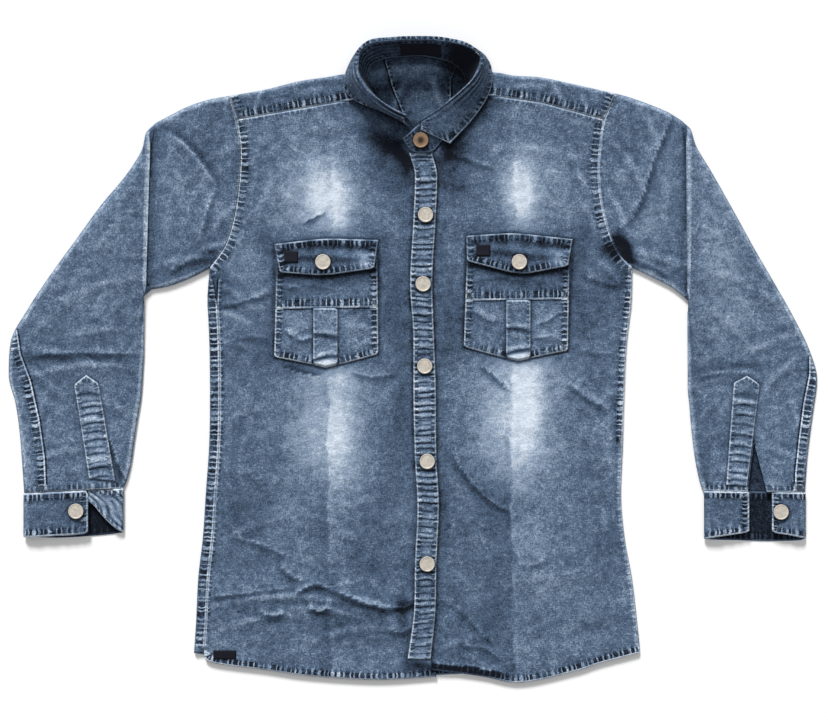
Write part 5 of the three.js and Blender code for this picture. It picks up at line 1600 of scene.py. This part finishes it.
def tape(name):
    """Matt black woven tape."""
    n = Nodes(name)
    flat = n.node("ShaderNodeUVMap", uv_map="cloth").outputs[0]
    rib = n.node("ShaderNodeTexWave", {"Vector": flat, "Scale": 500.0}, bands_direction="Y").outputs["Fac"]
    value = n.onto(0.003, rib, 0.007)
    colour = n.node("ShaderNodeCombineColor", {"Red": value, "Green": value, "Blue": n.math("ADD", value, 0.006)})
    return n.surface({"Base Color": colour.outputs[0], "Normal": n.bump(rib, 0.4, 0.0002),
                      "Roughness": 0.8, "Specular IOR Level": 0.15})


PALE_METAL = (0.72, 0.66, 0.58)
BRONZE = (0.34, 0.22, 0.13)
TARNISH = (0.03, 0.012, 0.006, 1)
DULLED = 0.62                      # share of a metal's tone in its dull places


def cap_metal(name, tone, centre=None):
    """Warm matt metal with fine scratches and small dents, dark about a centre."""
    n = Nodes(name)
    place = n.node("ShaderNodeTexCoord").outputs["Object"]
    scratch = n.noise(n.scaled(place, (1800.0, 260.0, 260.0)), 1.0, 3.0, 0.6)
    dull = n.onto(n.times(scratch, 0.35), n.noise(place, 260.0, 3.0, 0.6), 0.5)
    face = n.blend(n.ramp(dull, 0.25, 0.65), (*[c * DULLED for c in tone], 1), (*tone, 1))
    if centre:
        flattened = {"Vector": place, "Location": (-centre[0], -centre[1], 0.0), "Scale": (1.0, 1.0, 0.0)}
        moved = n.node("ShaderNodeMapping", flattened).outputs[0]
        far = n.node("ShaderNodeVectorMath", {0: moved}, operation="LENGTH").outputs["Value"]
        face = n.blend(n.ramp(far, 0.0015, BUTTON_R * 0.75 * MM), TARNISH, face)
    return n.surface({"Base Color": face, "Roughness": n.ramp(scratch, 0.3, 0.7, 0.42, 0.6),
                      "Normal": n.bump(dull, 0.25, 0.0002), "Metallic": 0.35})


def wear(piece, material):
    piece.data.materials.clear()
    piece.data.materials.append(material)


BAND_PIECES = ("placket", "cuff", "sleeve_placket", "pocket_strip", "pocket_flap")
PATCH_PIECES = ("label", "pocket_patch")


def slot_of(name):
    """The name of the finish of a piece."""
    if name.startswith("button"):
        return "bronze_cap" if name.startswith("button_neck") else "pale_metal_cap"
    if name.startswith(PATCH_PIECES):
        return "plain_patch"
    return "denim_band" if name.startswith(BAND_PIECES) else "denim"


def build_shirt():
    low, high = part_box("button_neck")
    neck_middle = [(a + b) / 2 for a, b in zip(low, high)]
    finishes = {
        "denim": denim("denim"), "denim_band": denim("denim_band", BAND_TONE), "plain_patch": tape("plain_patch"),
        "pale_metal_cap": cap_metal("pale_metal_cap", PALE_METAL),
        "bronze_cap": cap_metal("bronze_cap", BRONZE, neck_middle),
    }

    panels = {side: remember(front(side)) for side in OUT}
    back()
    yoke()
    sleeves = {side: remember(sleeve(side)) for side in OUT}
    for side in OUT:
        cuff(side)
        sleeve_placket(side, sleeves[side])
        body = pocket(side, panels[side])
        flap = pocket_flap(side, panels[side], body)
        pocket_strip(side, body)
        laid(f"pocket_patch_{side}", oblong(POCKET[side]["patch"], PATCH, 9, 8), [flap],
             wall=LABEL_WALL)
    stand_grid = collar_stand()
    collar_fall()
    button_stand(panels["right"])
    neck_label(stand_grid)
    laid("label_hem", oblong(HEM_LABEL, HEM_LABEL_SIZE, 14, 7), [panels["right"]],
         wall=LABEL_WALL)
    place_buttons(button_master())

    for piece in PIECES:
        slot = slot_of(piece.name)
        wear(piece, finishes[slot])


# Floor, lights and camera.
SUN_POWER, SUN_WIDE = 4.3, 16
SUN_WAY = (0.22, -1.0, -0.58)
SKY_POWER = 0.5
LENS, SENSOR = 85, 36


def studio():
    bpy.ops.mesh.primitive_plane_add(size=12, location=(0, 0, 0))
    floor = bpy.context.object
    floor.name = "floor"
    bpy.ops.object.transform_apply(location=True, rotation=True, scale=True)
    floor.data.materials.append(Nodes("floor_white").surface({"Base Color": (0.9, 0.9, 0.9, 1), "Roughness": 0.9}))

    sun = bpy.data.lights.new("key", "SUN")
    sun.energy = SUN_POWER
    sun.angle = math.radians(SUN_WIDE)
    key = bpy.data.objects.new("key", sun)
    key.rotation_euler = Vector(SUN_WAY).to_track_quat("-Z", "Y").to_euler()
    bpy.context.collection.objects.link(key)
    world = bpy.data.worlds.new("room")
    bpy.context.scene.world = world
    world.use_nodes = True
    world.node_tree.nodes["Background"].inputs[0].default_value = (1, 1, 1, 1)
    world.node_tree.nodes["Background"].inputs[1].default_value = SKY_POWER
    bpy.context.scene.view_settings.view_transform = "Standard"

    camera_data = bpy.data.cameras.new("camera")
    camera_data.lens = LENS
    camera_data.sensor_width = SENSOR
    height = IMAGE[0] * PIXEL_MM * MM * LENS / SENSOR + TOP * MM
    camera = bpy.data.objects.new("camera", camera_data)
    camera.location = (IMAGE_MIDDLE[0] * MM, IMAGE_MIDDLE[1] * MM, height)
    bpy.context.collection.objects.link(camera)
    bpy.context.scene.camera = camera


studio()
build_shirt()
